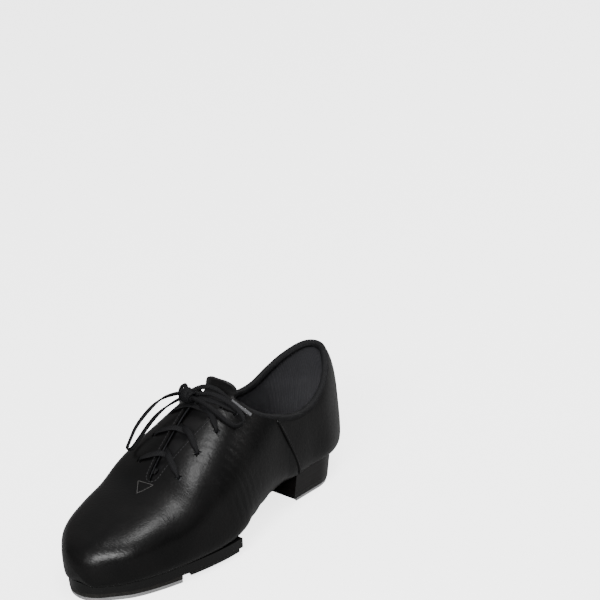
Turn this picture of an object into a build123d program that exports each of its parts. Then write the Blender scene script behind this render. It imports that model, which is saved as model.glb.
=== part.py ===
"""Left tap shoe: a split-sole lace-up oxford with a toe tap and a heel tap.

Frame: millimetres, +Z up, toe towards -Y, heel towards +Y, lateral (outer) side +X.
The origin is on the floor under the middle of the shoe.
"""
from build123d import *
import math
import os

os.makedirs("parts", exist_ok=True)

# ---- driving dimensions -----------------------------------------------------------------
shoe_length = 258.0        # toe tip to back of heel
ball_width = 91.0          # widest place, across the ball of the foot
upper_height_scale = 1.0   # stretches the upper over the sole

tap_thickness = 3.0        # aluminium toe and heel taps
board_thickness = 3.0      # stiff fibre board under the toe, and the rubber half sole
outsole_thickness = 4.5    # leather outsole of the forefoot
heel_rise = 11.0           # how much higher the foot stands at the heel than at the ball
lift_count = 3             # dark lifts in the heel stack
top_piece_thickness = 3.0  # natural leather piece on the heel, just above the tap

upper_leather = 1.3
counter_thickness = 1.0    # stiffener layer at heel, toe and facings
lining_total = 1.9         # lining where nothing stiffens it
insole_thickness = 2.0
sock_thickness = 1.2
tongue_thickness = 2.2
tongue_lining_thickness = 0.8
binding_thickness = 0.6
binding_depth = 3.6

toe_tap_length = 68.0      # along the middle line
heel_tap_length = 54.0
heel_width_bottom = 50.0
heel_width_top = 56.0
heel_length_bottom = 53.0
heel_length_top = 55.0
heel_breast = 187.0        # distance of the heel breast from the toe

eyelet_diameter = 4.4
eyelet_pitch = 19.5
first_eyelet = 79.0        # distance of the first pair from the toe
eyelet_pairs = 4
eyelet_spread = 35.0       # across the first pair
eyelet_opening = 3.2       # how much further apart each next pair is
throat = 73.0              # bottom of the gap between the facings, from the toe
facing_top = 144.0         # top corners of the facings, from the toe
gap_at_throat = 6.0
gap_at_top = 27.0
gap_drift = -3.6           # the gap runs to the medial side by this much from pair 1 to 4

lace_width = 4.0
lace_tube = 2.0            # a flat lace folded through its holes, as a round of the same area
loop_tube = 2.2

screw_head = 6.0
screw_shank = 3.0
screw_head_depth = 1.6
nail_diameter = 2.0

lace_room = 4.5            # between the lining and the tongue, for the lace underneath
body_gap = 0.3             # between curved faces of pieces that move apart
hinge_gap = 0.4

# ---- the last: one smooth family of cross-sections ---------------------------------------
DRAWN_LENGTH = 258.0
DRAWN_BALL = 91.0
sole_stack = tap_thickness + board_thickness + outsole_thickness
half_length = shoe_length / 2
width_scale = ball_width / DRAWN_BALL

# distance from the toe, medial edge, lateral edge
PLAN = [
    (0, -5, -5), (3, -17, 7), (10, -26, 15), (25, -37, 28), (50, -42.6, 38.5), (75, -43.7, 45),
    (95, -42.2, 47.8), (115, -38.7, 47.8), (140, -35.5, 44), (170, -33, 37.5), (200, -31.5, 33.5),
    (225, -31, 31), (245, -22, 22), (254, -12.5, 12.5), (258, 0, 0),
]
# distance from the toe, share of the heel rise, height above the ball line at toe and heel
# tips, depth of the cross-section
PROFILE = [
    (0, 0.0, 12.0, 0.0), (3, 0.0, 1.5, 19.5), (10, 0.0, 0.0, 28.0), (25, 0.0, 0.0, 34.5),
    (50, 0.0, 0.0, 42.5), (66, 0.0, 0.0, 48.0), (82, 0.0, 0.0, 59.0), (100, 0.03, 0.0, 68.5),
    (120, 0.09, 0.0, 77.5), (140, 0.26, 0.0, 83.5), (160, 0.56, 0.0, 87.0), (190, 0.95, 0.0, 88.0),
    (215, 0.9, 0.0, 87.5), (235, 0.8, 0.0, 85.0), (248, 0.7, 2.0, 75.5), (255, 0.7, 11.0, 50.0),
    (258, 0.7, 33.0, 0.0),
]
# distance from the toe, inward lean of the sides, sideways shift of the top ridge
LEAN = [(0, 0.0, 0), (60, 0.0, -4), (100, 0.08, -8), (140, 0.16, -8), (190, 0.2, -3), (258, 0.22, 0)]

SOLE_POWER = 3.6           # squareness of the bottom of a section
TOP_POWER = 2.25           # squareness of its top
POINTS_PER_SECTION = 24
# the same parameters in every section keep the lofted surface light
EVEN_PARAMETERS = [i / POINTS_PER_SECTION for i in range(POINTS_PER_SECTION + 1)]
STATIONS = [2, 5, 11, 21, 36, 54, 73, 92, 111, 130, 149, 168, 187, 206, 222, 236, 246, 253, 256.5]


def along(distance):
    """Angle that stands for a distance from the toe, in the drawn shoe."""
    return math.acos(max(-1.0, min(1.0, 1 - 2 * distance / DRAWN_LENGTH)))


def y_of(distance):
    """Y of a distance from the toe."""
    return -half_length * math.cos(along(distance))


def curve_through(table, column):
    """Smooth function of the station angle through one column of a table."""
    knots = [along(row[0]) for row in table]
    values = [row[column] for row in table]
    slopes = []
    for i in range(len(knots)):
        before, after = max(i - 1, 0), min(i + 1, len(knots) - 1)
        slopes.append((values[after] - values[before]) / (knots[after] - knots[before]))

    def value(angle):
        i = 0
        while i < len(knots) - 2 and angle > knots[i + 1]:
            i += 1
        span = knots[i + 1] - knots[i]
        s = (angle - knots[i]) / span
        start = values[i] * (1 + 2 * s) * (1 - s) ** 2 + slopes[i] * span * s * (1 - s) ** 2
        end = values[i + 1] * s * s * (3 - 2 * s) + slopes[i + 1] * span * s * s * (s - 1)
        return start + end

    return value


medial_edge = curve_through(PLAN, 1)
lateral_edge = curve_through(PLAN, 2)
rise_share = curve_through(PROFILE, 1)
tip_lift = curve_through(PROFILE, 2)
depth_of = curve_through(PROFILE, 3)
lean_of = curve_through(LEAN, 1)
ridge_of = curve_through(LEAN, 2)


def middle(angle):
    return width_scale * (lateral_edge(angle) + medial_edge(angle)) / 2


def half_width(angle):
    return width_scale * (lateral_edge(angle) - medial_edge(angle)) / 2


def bottom(angle):
    return sole_stack + heel_rise * rise_share(angle) + tip_lift(angle)


def half_depth(angle):
    return upper_height_scale * depth_of(angle) / 2


def slope(function, angle):
    step = 0.01
    low, high = max(angle - step, 0.0), min(angle + step, math.pi)
    return (function(high) - function(low)) / (high - low)


def section(angle, inset=0.0):
    """Centre, y, half width and half depth of one cross-section, drawn in by the inset."""
    run = half_length * math.sin(angle)
    width_slope, depth_slope = slope(half_width, angle), slope(half_depth, angle)
    across = run / math.hypot(run, width_slope)
    upward = run / math.hypot(run, depth_slope)
    back = width_slope / math.hypot(run, width_slope)
    y = -half_length * math.cos(angle) + inset * back
    wide = half_width(angle) - inset * across
    deep = half_depth(angle) - inset * upward
    return y, middle(angle), bottom(angle) + half_depth(angle), wide, deep


def last_point(angle, turn, inset=0.0):
    """Point of the last's surface: turn 0 is lateral, 90 the top, 180 medial, 270 the sole."""
    y, x_mid, z_mid, wide, deep = section(angle, inset)
    c, s = math.cos(math.radians(turn)), math.sin(math.radians(turn))
    power = TOP_POWER if s > 0 else SOLE_POWER
    reach = (abs(c) ** power + abs(s) ** power) ** (-1 / power)
    height = (deep * reach * s + deep) / (2 * deep)
    x = x_mid + wide * reach * c * (1 - lean_of(angle) * height)
    x += width_scale * ridge_of(angle) * height
    return Vector(x, y, z_mid + deep * reach * s)


def top_point(distance, x, inset=0.0):
    """Point on the upper half of the surface at a distance from the toe and a given x."""
    angle = along(distance)
    low, high = 5.0, 175.0
    for _ in range(40):
        turn = (low + high) / 2
        if last_point(angle, turn, inset).X > x:
            low = turn
        else:
            high = turn
    return last_point(angle, turn, inset)


def top_normal(distance, x):
    """Unit normal of the upper surface there."""
    here = top_point(distance, x)
    ahead = top_point(distance + 1.0, x) - here
    aside = top_point(distance, x + 1.0) - here
    return aside.cross(ahead).normalized()


def seat(distance):
    """Height of the level that the foot stands on, without the turned-up tips."""
    return sole_stack + heel_rise * rise_share(along(distance))


# ---- working solids: the last at several depths, and the zones of the shoe -----------------
def last_solid(inset):
    with BuildPart() as solid:
        for distance in STATIONS:
            angle = along(distance)
            y = section(angle, inset)[0]
            points = []
            for i in range(POINTS_PER_SECTION):
                place = last_point(angle, 360 * i / POINTS_PER_SECTION, inset)
                points.append((place.X, place.Z))
            with BuildSketch(Plane(origin=(0, y, 0), x_dir=(1, 0, 0), z_dir=(0, -1, 0))):
                with BuildLine():
                    add(Edge.make_spline(points, periodic=True, parameters=EVEN_PARAMETERS))
                make_face()
        loft()
    return solid.part


depth_lining = upper_leather + lining_total
outer_form = last_solid(0)
leather_form = last_solid(upper_leather)
stiffener_form = last_solid(upper_leather + counter_thickness)
foot_form = last_solid(depth_lining)
binding_outer_form = last_solid(-binding_thickness)
binding_inner_form = last_solid(depth_lining + binding_thickness)

# height of the topline above the seat, from the top of the facings to the back of the heel
RIM = [
    (138, 100), (146, 77), (152, 69.5), (160, 63.5), (168, 58.8), (180, 52), (194, 48.2),
    (208, 49.6), (222, 56.0), (235, 65.5), (246, 74.5), (254, 79), (258, 80),
]
reach = 140.0              # half width of the tools that cut right through the shoe
far = 400.0


def rim_height(distance):
    """Topline height at a distance from the toe, between the drawn points."""
    for (d0, h0), (d1, h1) in zip(RIM, RIM[1:]):
        if d0 <= distance <= d1:
            share = (distance - d0) / (d1 - d0)
            return seat(distance) + upper_height_scale * (h0 + share * (h1 - h0))
    raise ValueError("no topline there")


def rim_points(drop):
    """The topline in side view, moved down square to itself."""
    line = [(y_of(d), seat(d) + upper_height_scale * h) for d, h in RIM]
    line.append((half_length + 12, line[-1][1] + 1.0))
    moved = []
    for i, (y, z) in enumerate(line):
        y0, z0 = line[max(i - 1, 0)]
        y1, z1 = line[min(i + 1, len(line) - 1)]
        size = math.hypot(y1 - y0, z1 - z0)
        moved.append((y + drop * (z1 - z0) / size, z - drop * (y1 - y0) / size))
    return moved


def above_rim(drop):
    """Everything above the topline, which the foot's opening leaves empty."""
    line = rim_points(drop)
    with BuildPart() as tool:
        with BuildSketch(Plane.YZ):
            with BuildLine():
                Spline(*line)
                Polyline(line[-1], (line[-1][0], far), (line[0][0], far), line[0])
            make_face()
        extrude(amount=reach, both=True)
    return tool.part


pivot_distance = 167.0     # top of the side seam
fold_front = 117.0         # rear end of the stiff forefoot, under the arch
pivot = (y_of(pivot_distance), rim_height(pivot_distance))
front_foot = (y_of(fold_front), sole_stack)
rear_foot = (y_of(heel_breast), seat(heel_breast))


def beyond(start, end, height):
    """Point at a height on the line from start through end, in side view."""
    share = (start[1] - height) / (start[1] - end[1])
    return (start[0] + share * (end[0] - start[0]), height)


def side_zone(*corners):
    """Prism right across the shoe from an outline in side view."""
    with BuildPart() as zone:
        with BuildSketch(Plane.YZ):
            with BuildLine():
                Polyline(*corners, close=True)
            make_face()
        extrude(amount=reach, both=True)
    return zone.part


front_low = beyond(pivot, front_foot, -50.0)
rear_low = beyond(pivot, rear_foot, -50.0)
front_zone = side_zone(front_low, pivot, (pivot[0], far), (-far, far), (-far, -50.0))
arch_zone = side_zone(
    front_low, pivot, (pivot[0] + hinge_gap, pivot[1]), (rear_low[0] + hinge_gap, rear_low[1])
)
rear_zone = side_zone(
    (rear_low[0] + hinge_gap, rear_low[1]),
    (pivot[0] + hinge_gap, pivot[1]),
    (pivot[0] + hinge_gap, far),
    (far, far),
    (far, -50.0),
)


def side_box(sign):
    """Everything on the lateral (+1) or medial (-1) side of the shoe."""
    with BuildPart() as side:
        with Locations((sign * reach / 2, 0, 0)):
            Box(reach, 2 * far, 2 * far)
    return side.part


def gap_line(distance):
    """Middle of the gap between the facings, and half its width."""
    share = (distance - throat) / (facing_top - throat)
    centre = width_scale * gap_drift * share
    return centre, width_scale * (gap_at_throat + share * (gap_at_top - gap_at_throat)) / 2


def facing_strip(width, sign, start, end):
    """Upright prism beside the gap, as wide as given, between two distances from the toe."""
    corners = []
    for distance, margin in ((start, 0), (end, 0), (end, width), (start, width)):
        centre, half = gap_line(distance)
        corners.append((centre + sign * (half + margin), y_of(distance)))
    with BuildPart() as strip:
        with BuildSketch(Plane.XY.offset(50)):
            with BuildLine():
                Polyline(*corners, close=True)
            make_face()
        extrude(amount=100)
    return strip.part


def facing_gap():
    """The open gap, round at its foot."""
    low_centre, low_half = gap_line(throat)
    top_centre, top_half = gap_line(facing_top + 20)
    with BuildPart() as gap:
        with BuildSketch(Plane.XY.offset(40)):
            with BuildLine():
                Line((low_centre + low_half, y_of(throat)), (top_centre + top_half, y_of(facing_top + 20)))
                Line(
                    (top_centre + top_half, y_of(facing_top + 20)),
                    (top_centre - top_half, y_of(facing_top + 20)),
                )
                Line((top_centre - top_half, y_of(facing_top + 20)), (low_centre - low_half, y_of(throat)))
                ThreePointArc(
                    (low_centre - low_half, y_of(throat)),
                    (low_centre, y_of(throat) - low_half),
                    (low_centre + low_half, y_of(throat)),
                )
            make_face()
        extrude(amount=120)
    return gap.part


def eyelet(row, sign):
    """Distance from the toe and x of one eyelet."""
    distance = first_eyelet + eyelet_pitch * row
    centre = width_scale * gap_drift * row / (eyelet_pairs - 1)
    return distance, centre + sign * width_scale * (eyelet_spread + eyelet_opening * row) / 2


def eyelet_punches():
    with BuildPart() as punches:
        for row in range(eyelet_pairs):
            for sign in (1, -1):
                distance, x = eyelet(row, sign)
                place = Plane(origin=top_point(distance, x), z_dir=top_normal(distance, x))
                with Locations(place):
                    Cylinder(radius=eyelet_diameter / 2, height=4 * depth_lining)
    return punches.part


opening = above_rim(0)
edge_opening = above_rim(binding_thickness)
gap = facing_gap()
punches = eyelet_punches()
lateral_half = side_box(1)
medial_half = side_box(-1)


def shell(outer, inner, *zones):
    """Layer between two forms, kept inside the zones."""
    with BuildPart() as layer:
        add(outer)
        add(inner, mode=Mode.SUBTRACT)
        for zone in zones:
            add(zone, mode=Mode.INTERSECT)
    return layer.part


def save(piece, name):
    piece.label = name
    export_step(piece, f"parts/{name}.step")


# ---- upper ----------------------------------------------------------------------------------
with BuildPart() as vamp:
    add(shell(outer_form, leather_form, front_zone))
    for tool in (edge_opening, gap, punches):
        add(tool, mode=Mode.SUBTRACT)
save(vamp.part, "vamp")

puff_length = 38.0         # toe puff, from the toe
stay_width = 13.0          # stay under each facing, from the gap's edge
counter_top = 60.0         # top of the heel counter
counter_start = 206.0      # its front wings, from the toe

with BuildPart() as toe_puff:
    add(shell(leather_form, stiffener_form))
    with Locations((0, y_of(puff_length) - far / 2, 0)):
        Box(far, far, far, mode=Mode.INTERSECT)
save(toe_puff.part, "toe_puff")

stays = {}
for name, sign in (("lateral", 1), ("medial", -1)):
    with BuildPart() as stay:
        strip = facing_strip(stay_width, sign, throat + 1, facing_top + 4)
        add(shell(leather_form, stiffener_form, strip, front_zone))
        for tool in (edge_opening, gap, punches):
            add(tool, mode=Mode.SUBTRACT)
    stays[name] = stay.part
    save(stay.part, f"facing_stay_{name}")

with BuildPart() as vamp_lining:
    add(shell(leather_form, foot_form, front_zone))
    for tool in (edge_opening, gap, punches, toe_puff.part, stays["lateral"], stays["medial"]):
        add(tool, mode=Mode.SUBTRACT)
save(vamp_lining.part, "vamp_lining")

rear_leather = shell(outer_form, leather_form, rear_zone)
quarters = {}
for name, side in (("lateral", lateral_half), ("medial", medial_half)):
    with BuildPart() as quarter:
        add(rear_leather)
        add(edge_opening, mode=Mode.SUBTRACT)
        add(side, mode=Mode.INTERSECT)
    quarters[name] = quarter.part

with BuildPart() as heel_counter:
    add(shell(leather_form, stiffener_form, rear_zone))
    with Locations((0, y_of(counter_start) + far / 2, counter_top - far / 2)):
        Box(far, far, far, mode=Mode.INTERSECT)

with BuildPart() as quarter_lining:
    add(shell(leather_form, foot_form, rear_zone))
    add(edge_opening, mode=Mode.SUBTRACT)
    add(heel_counter.part, mode=Mode.SUBTRACT)

arch_leather = shell(outer_form, leather_form, arch_zone)
for name, side in (("lateral", lateral_half), ("medial", medial_half)):
    with BuildPart() as panel:
        add(arch_leather)
        add(edge_opening, mode=Mode.SUBTRACT)
        add(side, mode=Mode.INTERSECT)
    save(panel.part, f"arch_panel_{name}")

with BuildPart() as arch_lining:
    add(shell(leather_form, foot_form, arch_zone))
    add(edge_opening, mode=Mode.SUBTRACT)
save(arch_lining.part, "arch_lining")

# the binding wraps the raw edge of the opening, behind the facings
binding_band = above_rim(binding_depth)
edge_layers = shell(outer_form, foot_form)
with BuildPart() as rim_binding:
    add(shell(binding_outer_form, binding_inner_form, binding_band))
    add(opening, mode=Mode.SUBTRACT)
    with BuildPart(mode=Mode.PRIVATE) as edge_core:
        add(edge_layers)
        add(edge_opening, mode=Mode.SUBTRACT)
    add(edge_core.part, mode=Mode.SUBTRACT)
for name, zone in (("front", front_zone), ("rear", rear_zone)):
    with BuildPart() as binding:
        add(rim_binding.part)
        add(zone, mode=Mode.INTERSECT)
        add(gap, mode=Mode.SUBTRACT)
    save(binding.part, f"topline_binding_{name}")


# ---- inside the shoe, under the foot ----------------------------------------------------------
def under_foot(low, high, zone):
    """Layer that follows the seat between two heights above it, inside the lining."""
    floor = [(y_of(d), seat(d)) for d in (0, 60, 95, 115, 135, 155, 175, 200, 230, 258)]
    with BuildPart() as layer:
        with BuildSketch(Plane.YZ):
            with BuildLine():
                Spline(*[(y, z + low) for y, z in floor])
                Spline(*[(y, z + high) for y, z in floor])
                Line((floor[0][0], floor[0][1] + low), (floor[0][0], floor[0][1] + high))
                Line((floor[-1][0], floor[-1][1] + low), (floor[-1][0], floor[-1][1] + high))
            make_face()
        extrude(amount=reach, both=True)
        add(foot_form, mode=Mode.INTERSECT)
        add(zone, mode=Mode.INTERSECT)
    return layer.part


board_low = depth_lining
board_high = board_low + insole_thickness
sock_high = board_high + sock_thickness
insole_front = under_foot(0, board_high, front_zone)
insole_rear = under_foot(0, board_high, rear_zone)
save(insole_front, "insole_board_front")
save(under_foot(board_high, sock_high, front_zone), "sock_lining_front")
save(under_foot(board_high, sock_high, rear_zone), "sock_lining_rear")
save(under_foot(0, sock_high, arch_zone), "sock_lining_arch")


# ---- forefoot sole ----------------------------------------------------------------------------
sole_share = 0.9           # the sole's edge stands just inside the widest line of the upper
toe_margin = 2.0           # and just behind its toe


def sole_point(distance, sign, margin):
    """Point of the sole's edge, lateral (+1) or medial (-1), drawn in by a margin."""
    angle = along(distance)
    run, widening = half_length * math.sin(angle), slope(half_width, angle)
    size = math.hypot(run, widening)
    wide = sole_share * half_width(angle) - margin * run / size
    y = -(half_length - toe_margin) * math.cos(angle) + margin * widening / size
    return (middle(angle) + sign * wide, y)


def forefoot_plate(low, high, margin):
    """Plate in the outline of the forefoot, long enough for every rear edge."""
    rows = [1.5, 5, 11, 20, 34, 52, 72, 92, 112, 130]
    medial = [sole_point(d, -1, margin) for d in reversed(rows)]
    tip = (middle(0), -(half_length - toe_margin) + margin)
    lateral = [sole_point(d, 1, margin) for d in rows]
    with BuildPart() as plate:
        with BuildSketch(Plane.XY.offset(low)):
            with BuildLine():
                Spline(*medial, tip, *lateral)
                Line(lateral[-1], medial[0])
            make_face()
        extrude(amount=high - low)
    return plate.part


def behind_arc(lateral, centre, medial):
    """Everything behind an arc across the sole, given by its distances from the toe."""
    span = 60.0
    ends = ((span, y_of(lateral)), (-span, y_of(medial)))
    with BuildPart() as tool:
        with BuildSketch(Plane.XY.offset(-10)):
            with BuildLine():
                ThreePointArc(ends[0], (0, y_of(centre)), ends[1])
                Polyline(ends[1], (-span, far), (span, far), ends[0])
            make_face()
        extrude(amount=60)
    return tool.part


board_top = tap_thickness + board_thickness
tap_arc = (toe_tap_length - 24, toe_tap_length, toe_tap_length - 10)
strip_width = 7.0          # bare leather between the tap and the rubber
patch_arc = tuple(d + strip_width for d in tap_arc)
patch_rear_arc = (107.0, 105.0, 89.0)
outsole_overhang = 3.0
outsole_rear_arc = tuple(d + outsole_overhang for d in patch_rear_arc)
edge_rise = 2.5            # the outsole's rim rises to meet the rounded upper


def flat_screws(places, length, name):
    """Countersunk screws, heads down, just clear of the floor."""
    recess = 0.2
    slot = 0.9
    with BuildPart() as screws:
        for x, y in places:
            with Locations((x, y, recess + screw_head_depth / 2)):
                Cone(screw_head / 2, screw_shank / 2, screw_head_depth)
            with Locations((x, y, recess + screw_head_depth)):
                Cylinder(screw_shank / 2, length, align=(Align.CENTER, Align.CENTER, Align.MIN))
            with Locations((x, y, recess)):
                Box(0.62 * screw_head, slot, 1.4, mode=Mode.SUBTRACT)
                Box(slot, 0.62 * screw_head, 1.4, mode=Mode.SUBTRACT)
    save(screws.part, name)
    with BuildPart() as holes:
        for x, y in places:
            with Locations((x, y, recess / 2)):
                Cylinder(screw_head / 2, recess)
            with Locations((x, y, recess + screw_head_depth / 2)):
                Cone(screw_head / 2, screw_shank / 2, screw_head_depth)
            with Locations((x, y, recess + screw_head_depth)):
                Cylinder(screw_shank / 2, length, align=(Align.CENTER, Align.CENTER, Align.MIN))
    return holes.part


corner_inset = 10.0        # screws from the tap's edge
toe_screw_places = []
for distance, sign in ((tap_arc[0] + 2, 1), (tap_arc[2] - 3, -1)):
    x, y = sole_point(distance, sign, corner_inset)
    toe_screw_places.append((x, y))
toe_screw_places.append((middle(along(10)), y_of(11)))
toe_screw_length = board_top + outsole_thickness - screw_head_depth - 1.0
toe_holes = flat_screws(toe_screw_places, toe_screw_length, "toe_tap_screws")

with BuildPart() as toe_tap:
    add(forefoot_plate(0, tap_thickness, 0.8))
    add(behind_arc(*tap_arc), mode=Mode.SUBTRACT)
    fillet(toe_tap.faces().sort_by(Axis.Z)[0].edges(), 0.6)
    add(toe_holes, mode=Mode.SUBTRACT)
save(toe_tap.part, "toe_tap")

with BuildPart() as toe_tap_board:
    add(forefoot_plate(tap_thickness, board_top, 0.3))
    add(behind_arc(*tap_arc), mode=Mode.SUBTRACT)
    add(toe_holes, mode=Mode.SUBTRACT)
save(toe_tap_board.part, "toe_tap_board")

with BuildPart() as rubber_patch:
    add(forefoot_plate(tap_thickness, board_top, 0.6))
    with BuildPart(mode=Mode.PRIVATE) as patch_span:
        add(behind_arc(*patch_arc))
        add(behind_arc(*patch_rear_arc), mode=Mode.SUBTRACT)
    add(patch_span.part, mode=Mode.INTERSECT)
    fillet(rubber_patch.faces().sort_by(Axis.Z)[0].edges(), 0.8)
save(rubber_patch.part, "rubber_half_sole")

with BuildPart() as outsole:
    add(forefoot_plate(board_top, sole_stack + edge_rise, 0))
    add(behind_arc(*outsole_rear_arc), mode=Mode.SUBTRACT)
    add(outer_form, mode=Mode.SUBTRACT)
    add(toe_holes, mode=Mode.SUBTRACT)
save(outsole.part, "outsole_forefoot")


# ---- heel ---------------------------------------------------------------------------------------
breast_y = y_of(heel_breast)
heel_block_top = 29.0      # above every point where the seat meets the heel


def heel_size(height):
    """Width and length of the heel at a height, from its straight taper."""
    share = height / seat(heel_breast)
    width = heel_width_bottom + share * (heel_width_top - heel_width_bottom)
    length = heel_length_bottom + share * (heel_length_top - heel_length_bottom)
    return width_scale * width, length


def heel_slice(low, high, margin=0.0):
    """Slice of the heel: straight breast, round back."""
    with BuildPart() as block:
        for height in (low, high):
            width, length = heel_size(height)
            half = width / 2 - margin
            front, back = breast_y + margin, breast_y + length - margin
            with BuildSketch(Plane.XY.offset(height)):
                with BuildLine():
                    Polyline((-half, back - half), (-half, front), (half, front), (half, back - half))
                    ThreePointArc((half, back - half), (0, back), (-half, back - half))
                make_face()
        loft(ruled=True)
    return block.part


heel_back = breast_y + heel_length_bottom
heel_screw_places = [
    (width_scale * 18.5, breast_y + 11.0),
    (-width_scale * 18.5, breast_y + 11.0),
    (0.0, heel_back - 8.0),
]
heel_holes = flat_screws(heel_screw_places, 10.0, "heel_tap_screws")
tap_hollow = 9.0           # depth of the tap's concave front edge

with BuildPart() as heel_tap:
    add(heel_slice(0, tap_thickness, 0.5))
    with BuildSketch(Plane.XY.offset(-1)):
        with BuildLine():
            edge = width_scale * heel_width_bottom / 2 + 4
            ThreePointArc((edge, breast_y), (0, breast_y + tap_hollow), (-edge, breast_y))
            Polyline((-edge, breast_y), (-edge, breast_y - 9), (edge, breast_y - 9), (edge, breast_y))
        make_face()
    extrude(amount=tap_thickness + 2, mode=Mode.SUBTRACT)
    fillet(heel_tap.faces().sort_by(Axis.Z)[0].edges(), 0.6)
    add(heel_holes, mode=Mode.SUBTRACT)
save(heel_tap.part, "heel_tap")

# nails from the insole down into the lifts
nail_bottom = tap_thickness + top_piece_thickness + 6.2
with BuildPart() as heel_nails:
    for x, y in ((-12, 16), (12, 16), (-15, 32), (15, 32), (0, 46)):
        nail_top = seat(heel_breast + y) + board_high - 0.9
        with Locations((width_scale * x, breast_y + y, nail_bottom)):
            Cylinder(
                nail_diameter / 2,
                nail_top - nail_bottom,
                align=(Align.CENTER, Align.CENTER, Align.MIN),
            )
save(heel_nails.part, "heel_nails")

stack_bottom = tap_thickness + top_piece_thickness
lift_height = (seat(heel_breast) - stack_bottom) / lift_count
with BuildPart() as heel_top_piece:
    add(heel_slice(tap_thickness, stack_bottom))
    add(heel_holes, mode=Mode.SUBTRACT)
save(heel_top_piece.part, "heel_top_piece")

for i in range(lift_count):
    low = stack_bottom + i * lift_height
    high = low + lift_height if i < lift_count - 1 else heel_block_top
    with BuildPart() as lift:
        add(heel_slice(low, high))
        add(outer_form, mode=Mode.SUBTRACT)
        add(heel_holes, mode=Mode.SUBTRACT)
        add(heel_nails.part, mode=Mode.SUBTRACT)
    save(lift.part, f"heel_lift_{i + 1}")

for name, piece in (
    ("quarter_lateral", quarters["lateral"]),
    ("quarter_medial", quarters["medial"]),
    ("quarter_lining", quarter_lining.part),
    ("heel_counter", heel_counter.part),
    ("insole_board_rear", insole_rear),
):
    with BuildPart() as nailed:
        add(piece)
        add(heel_nails.part, mode=Mode.SUBTRACT)
    save(nailed.part, name)


# ---- tongue ---------------------------------------------------------------------------------------
tongue_inset = depth_lining + lace_room
# distance from the toe, half width, extra closeness to the lining at the seam
TONGUE_LASTED = [
    (69, 15, 3.0), (75, 17.5, 0.2), (85, 19, 0), (97, 20, 0), (110, 20.5, 0), (124, 19, 0), (138, 16.5, 0),
]
# free end: y, height above the floor, half width, slope of the tongue in degrees
TONGUE_FREE = [
    (16.8, 92.8, 12.8, 50), (18.4, 95.8, 13.2, 75), (18.6, 99.0, 12.3, 88), (18.2, 101.6, 9.5, 92),
    (18.0, 103.0, 5.0, 94),
]
tongue_centre = -5.4       # x of its middle at the free end


TONGUE_POINTS = 9
TONGUE_PARAMETERS = [i / (TONGUE_POINTS - 1) for i in range(TONGUE_POINTS)]


def tongue_profile(half, outer, inner, count=TONGUE_POINTS):
    """Curved strip in section, as points of its upper and lower faces relative to its middle."""
    distance = TONGUE_LASTED[-1][0]
    centre = gap_line(distance)[0]
    top = top_point(distance, centre)
    upper, lower = [], []
    for i in range(count):
        x = half * (2 * i / (count - 1) - 1)
        upper.append((x, top_point(distance, centre + x, outer).Z - top.Z))
        lower.append((x, top_point(distance, centre + x, inner).Z - top.Z))
    return upper, lower


def tongue_section(plane, upper, lower):
    """Face between the upper and the lower line of a section."""
    with BuildSketch(plane) as face:
        with BuildLine():
            add(Edge.make_spline(upper, parameters=TONGUE_PARAMETERS))
            Line(upper[-1], lower[-1])
            add(Edge.make_spline(lower[::-1], parameters=TONGUE_PARAMETERS))
            Line(lower[0], upper[0])
        make_face()
    return face.sketch


def tongue_layer(start, thickness):
    """One layer of the tongue between two depths."""
    sections = []
    for distance, half, closer in TONGUE_LASTED:
        centre = gap_line(distance)[0]
        upper, lower = [], []
        for i in range(TONGUE_POINTS):
            x = centre + width_scale * half * (2 * i / (TONGUE_POINTS - 1) - 1)
            depth = tongue_inset - closer + start
            upper.append((x, top_point(distance, x, depth).Z))
            lower.append((x, top_point(distance, x, depth + thickness).Z))
        plane = Plane(origin=(0, y_of(distance), 0), x_dir=(1, 0, 0), z_dir=(0, -1, 0))
        sections.append(tongue_section(plane, upper, lower))
    for y, z, half, lean in TONGUE_FREE:
        upper, lower = tongue_profile(width_scale * half, start, start + thickness)
        normal = (0, -math.cos(math.radians(lean)), -math.sin(math.radians(lean)))
        origin = (width_scale * tongue_centre, y, z * upper_height_scale)
        plane = Plane(origin=origin, x_dir=(1, 0, 0), z_dir=normal)
        sections.append(tongue_section(plane, upper, lower))
    with BuildPart() as layer:
        loft(sections)
    return layer.part


save(tongue_layer(0, tongue_thickness - tongue_lining_thickness), "tongue")
save(
    tongue_layer(tongue_thickness - tongue_lining_thickness, tongue_lining_thickness),
    "tongue_lining",
)


# ---- laces ------------------------------------------------------------------------------------------
over = 1.9                 # lace's middle above the facing
under = depth_lining + 1.3  # lace's middle under the facing's face
dive = under + 1.2         # deeper at the corners, which the lace cuts inside
cross_room = 1.45          # each half's middle from the level where the two halves cross
knot_centre = Vector(-13.0, -3.0, 97.0)
knot_radius = 5.0


def lace_place(distance, x, outset):
    """Point over (or under) the facings."""
    return top_point(distance, x, -outset)


def eyelet_place(row, side, outset):
    """Point on the axis of an eyelet."""
    distance, x = eyelet(row, side)
    return top_point(distance, x) + top_normal(distance, x) * outset


def held_route(sign):
    """Route of one half of the lace, from the bottom bar to the knot."""
    points = [lace_place(first_eyelet, gap_line(first_eyelet)[0] + sign * 2.0, -dive)]
    side = sign
    for row in range(eyelet_pairs):
        distance = eyelet(row, side)[0]
        points.append(eyelet_place(row, side, -under))
        points.append(eyelet_place(row, side, over))
        if row == eyelet_pairs - 1:
            break
        middle_distance = distance + eyelet_pitch / 2
        centre, half = gap_line(middle_distance)
        lift = cross_room if side > 0 else -cross_room
        edge = centre + side * (half - 0.6)
        points.append(lace_place(distance + 0.33 * eyelet_pitch, edge, over + 0.3))
        points.append(lace_place(middle_distance, centre, lift - 1.0))
        points.append(lace_place(distance + 0.7 * eyelet_pitch, centre - side * (half - 2.5), -dive))
        side = -side
    return points, side


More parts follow.
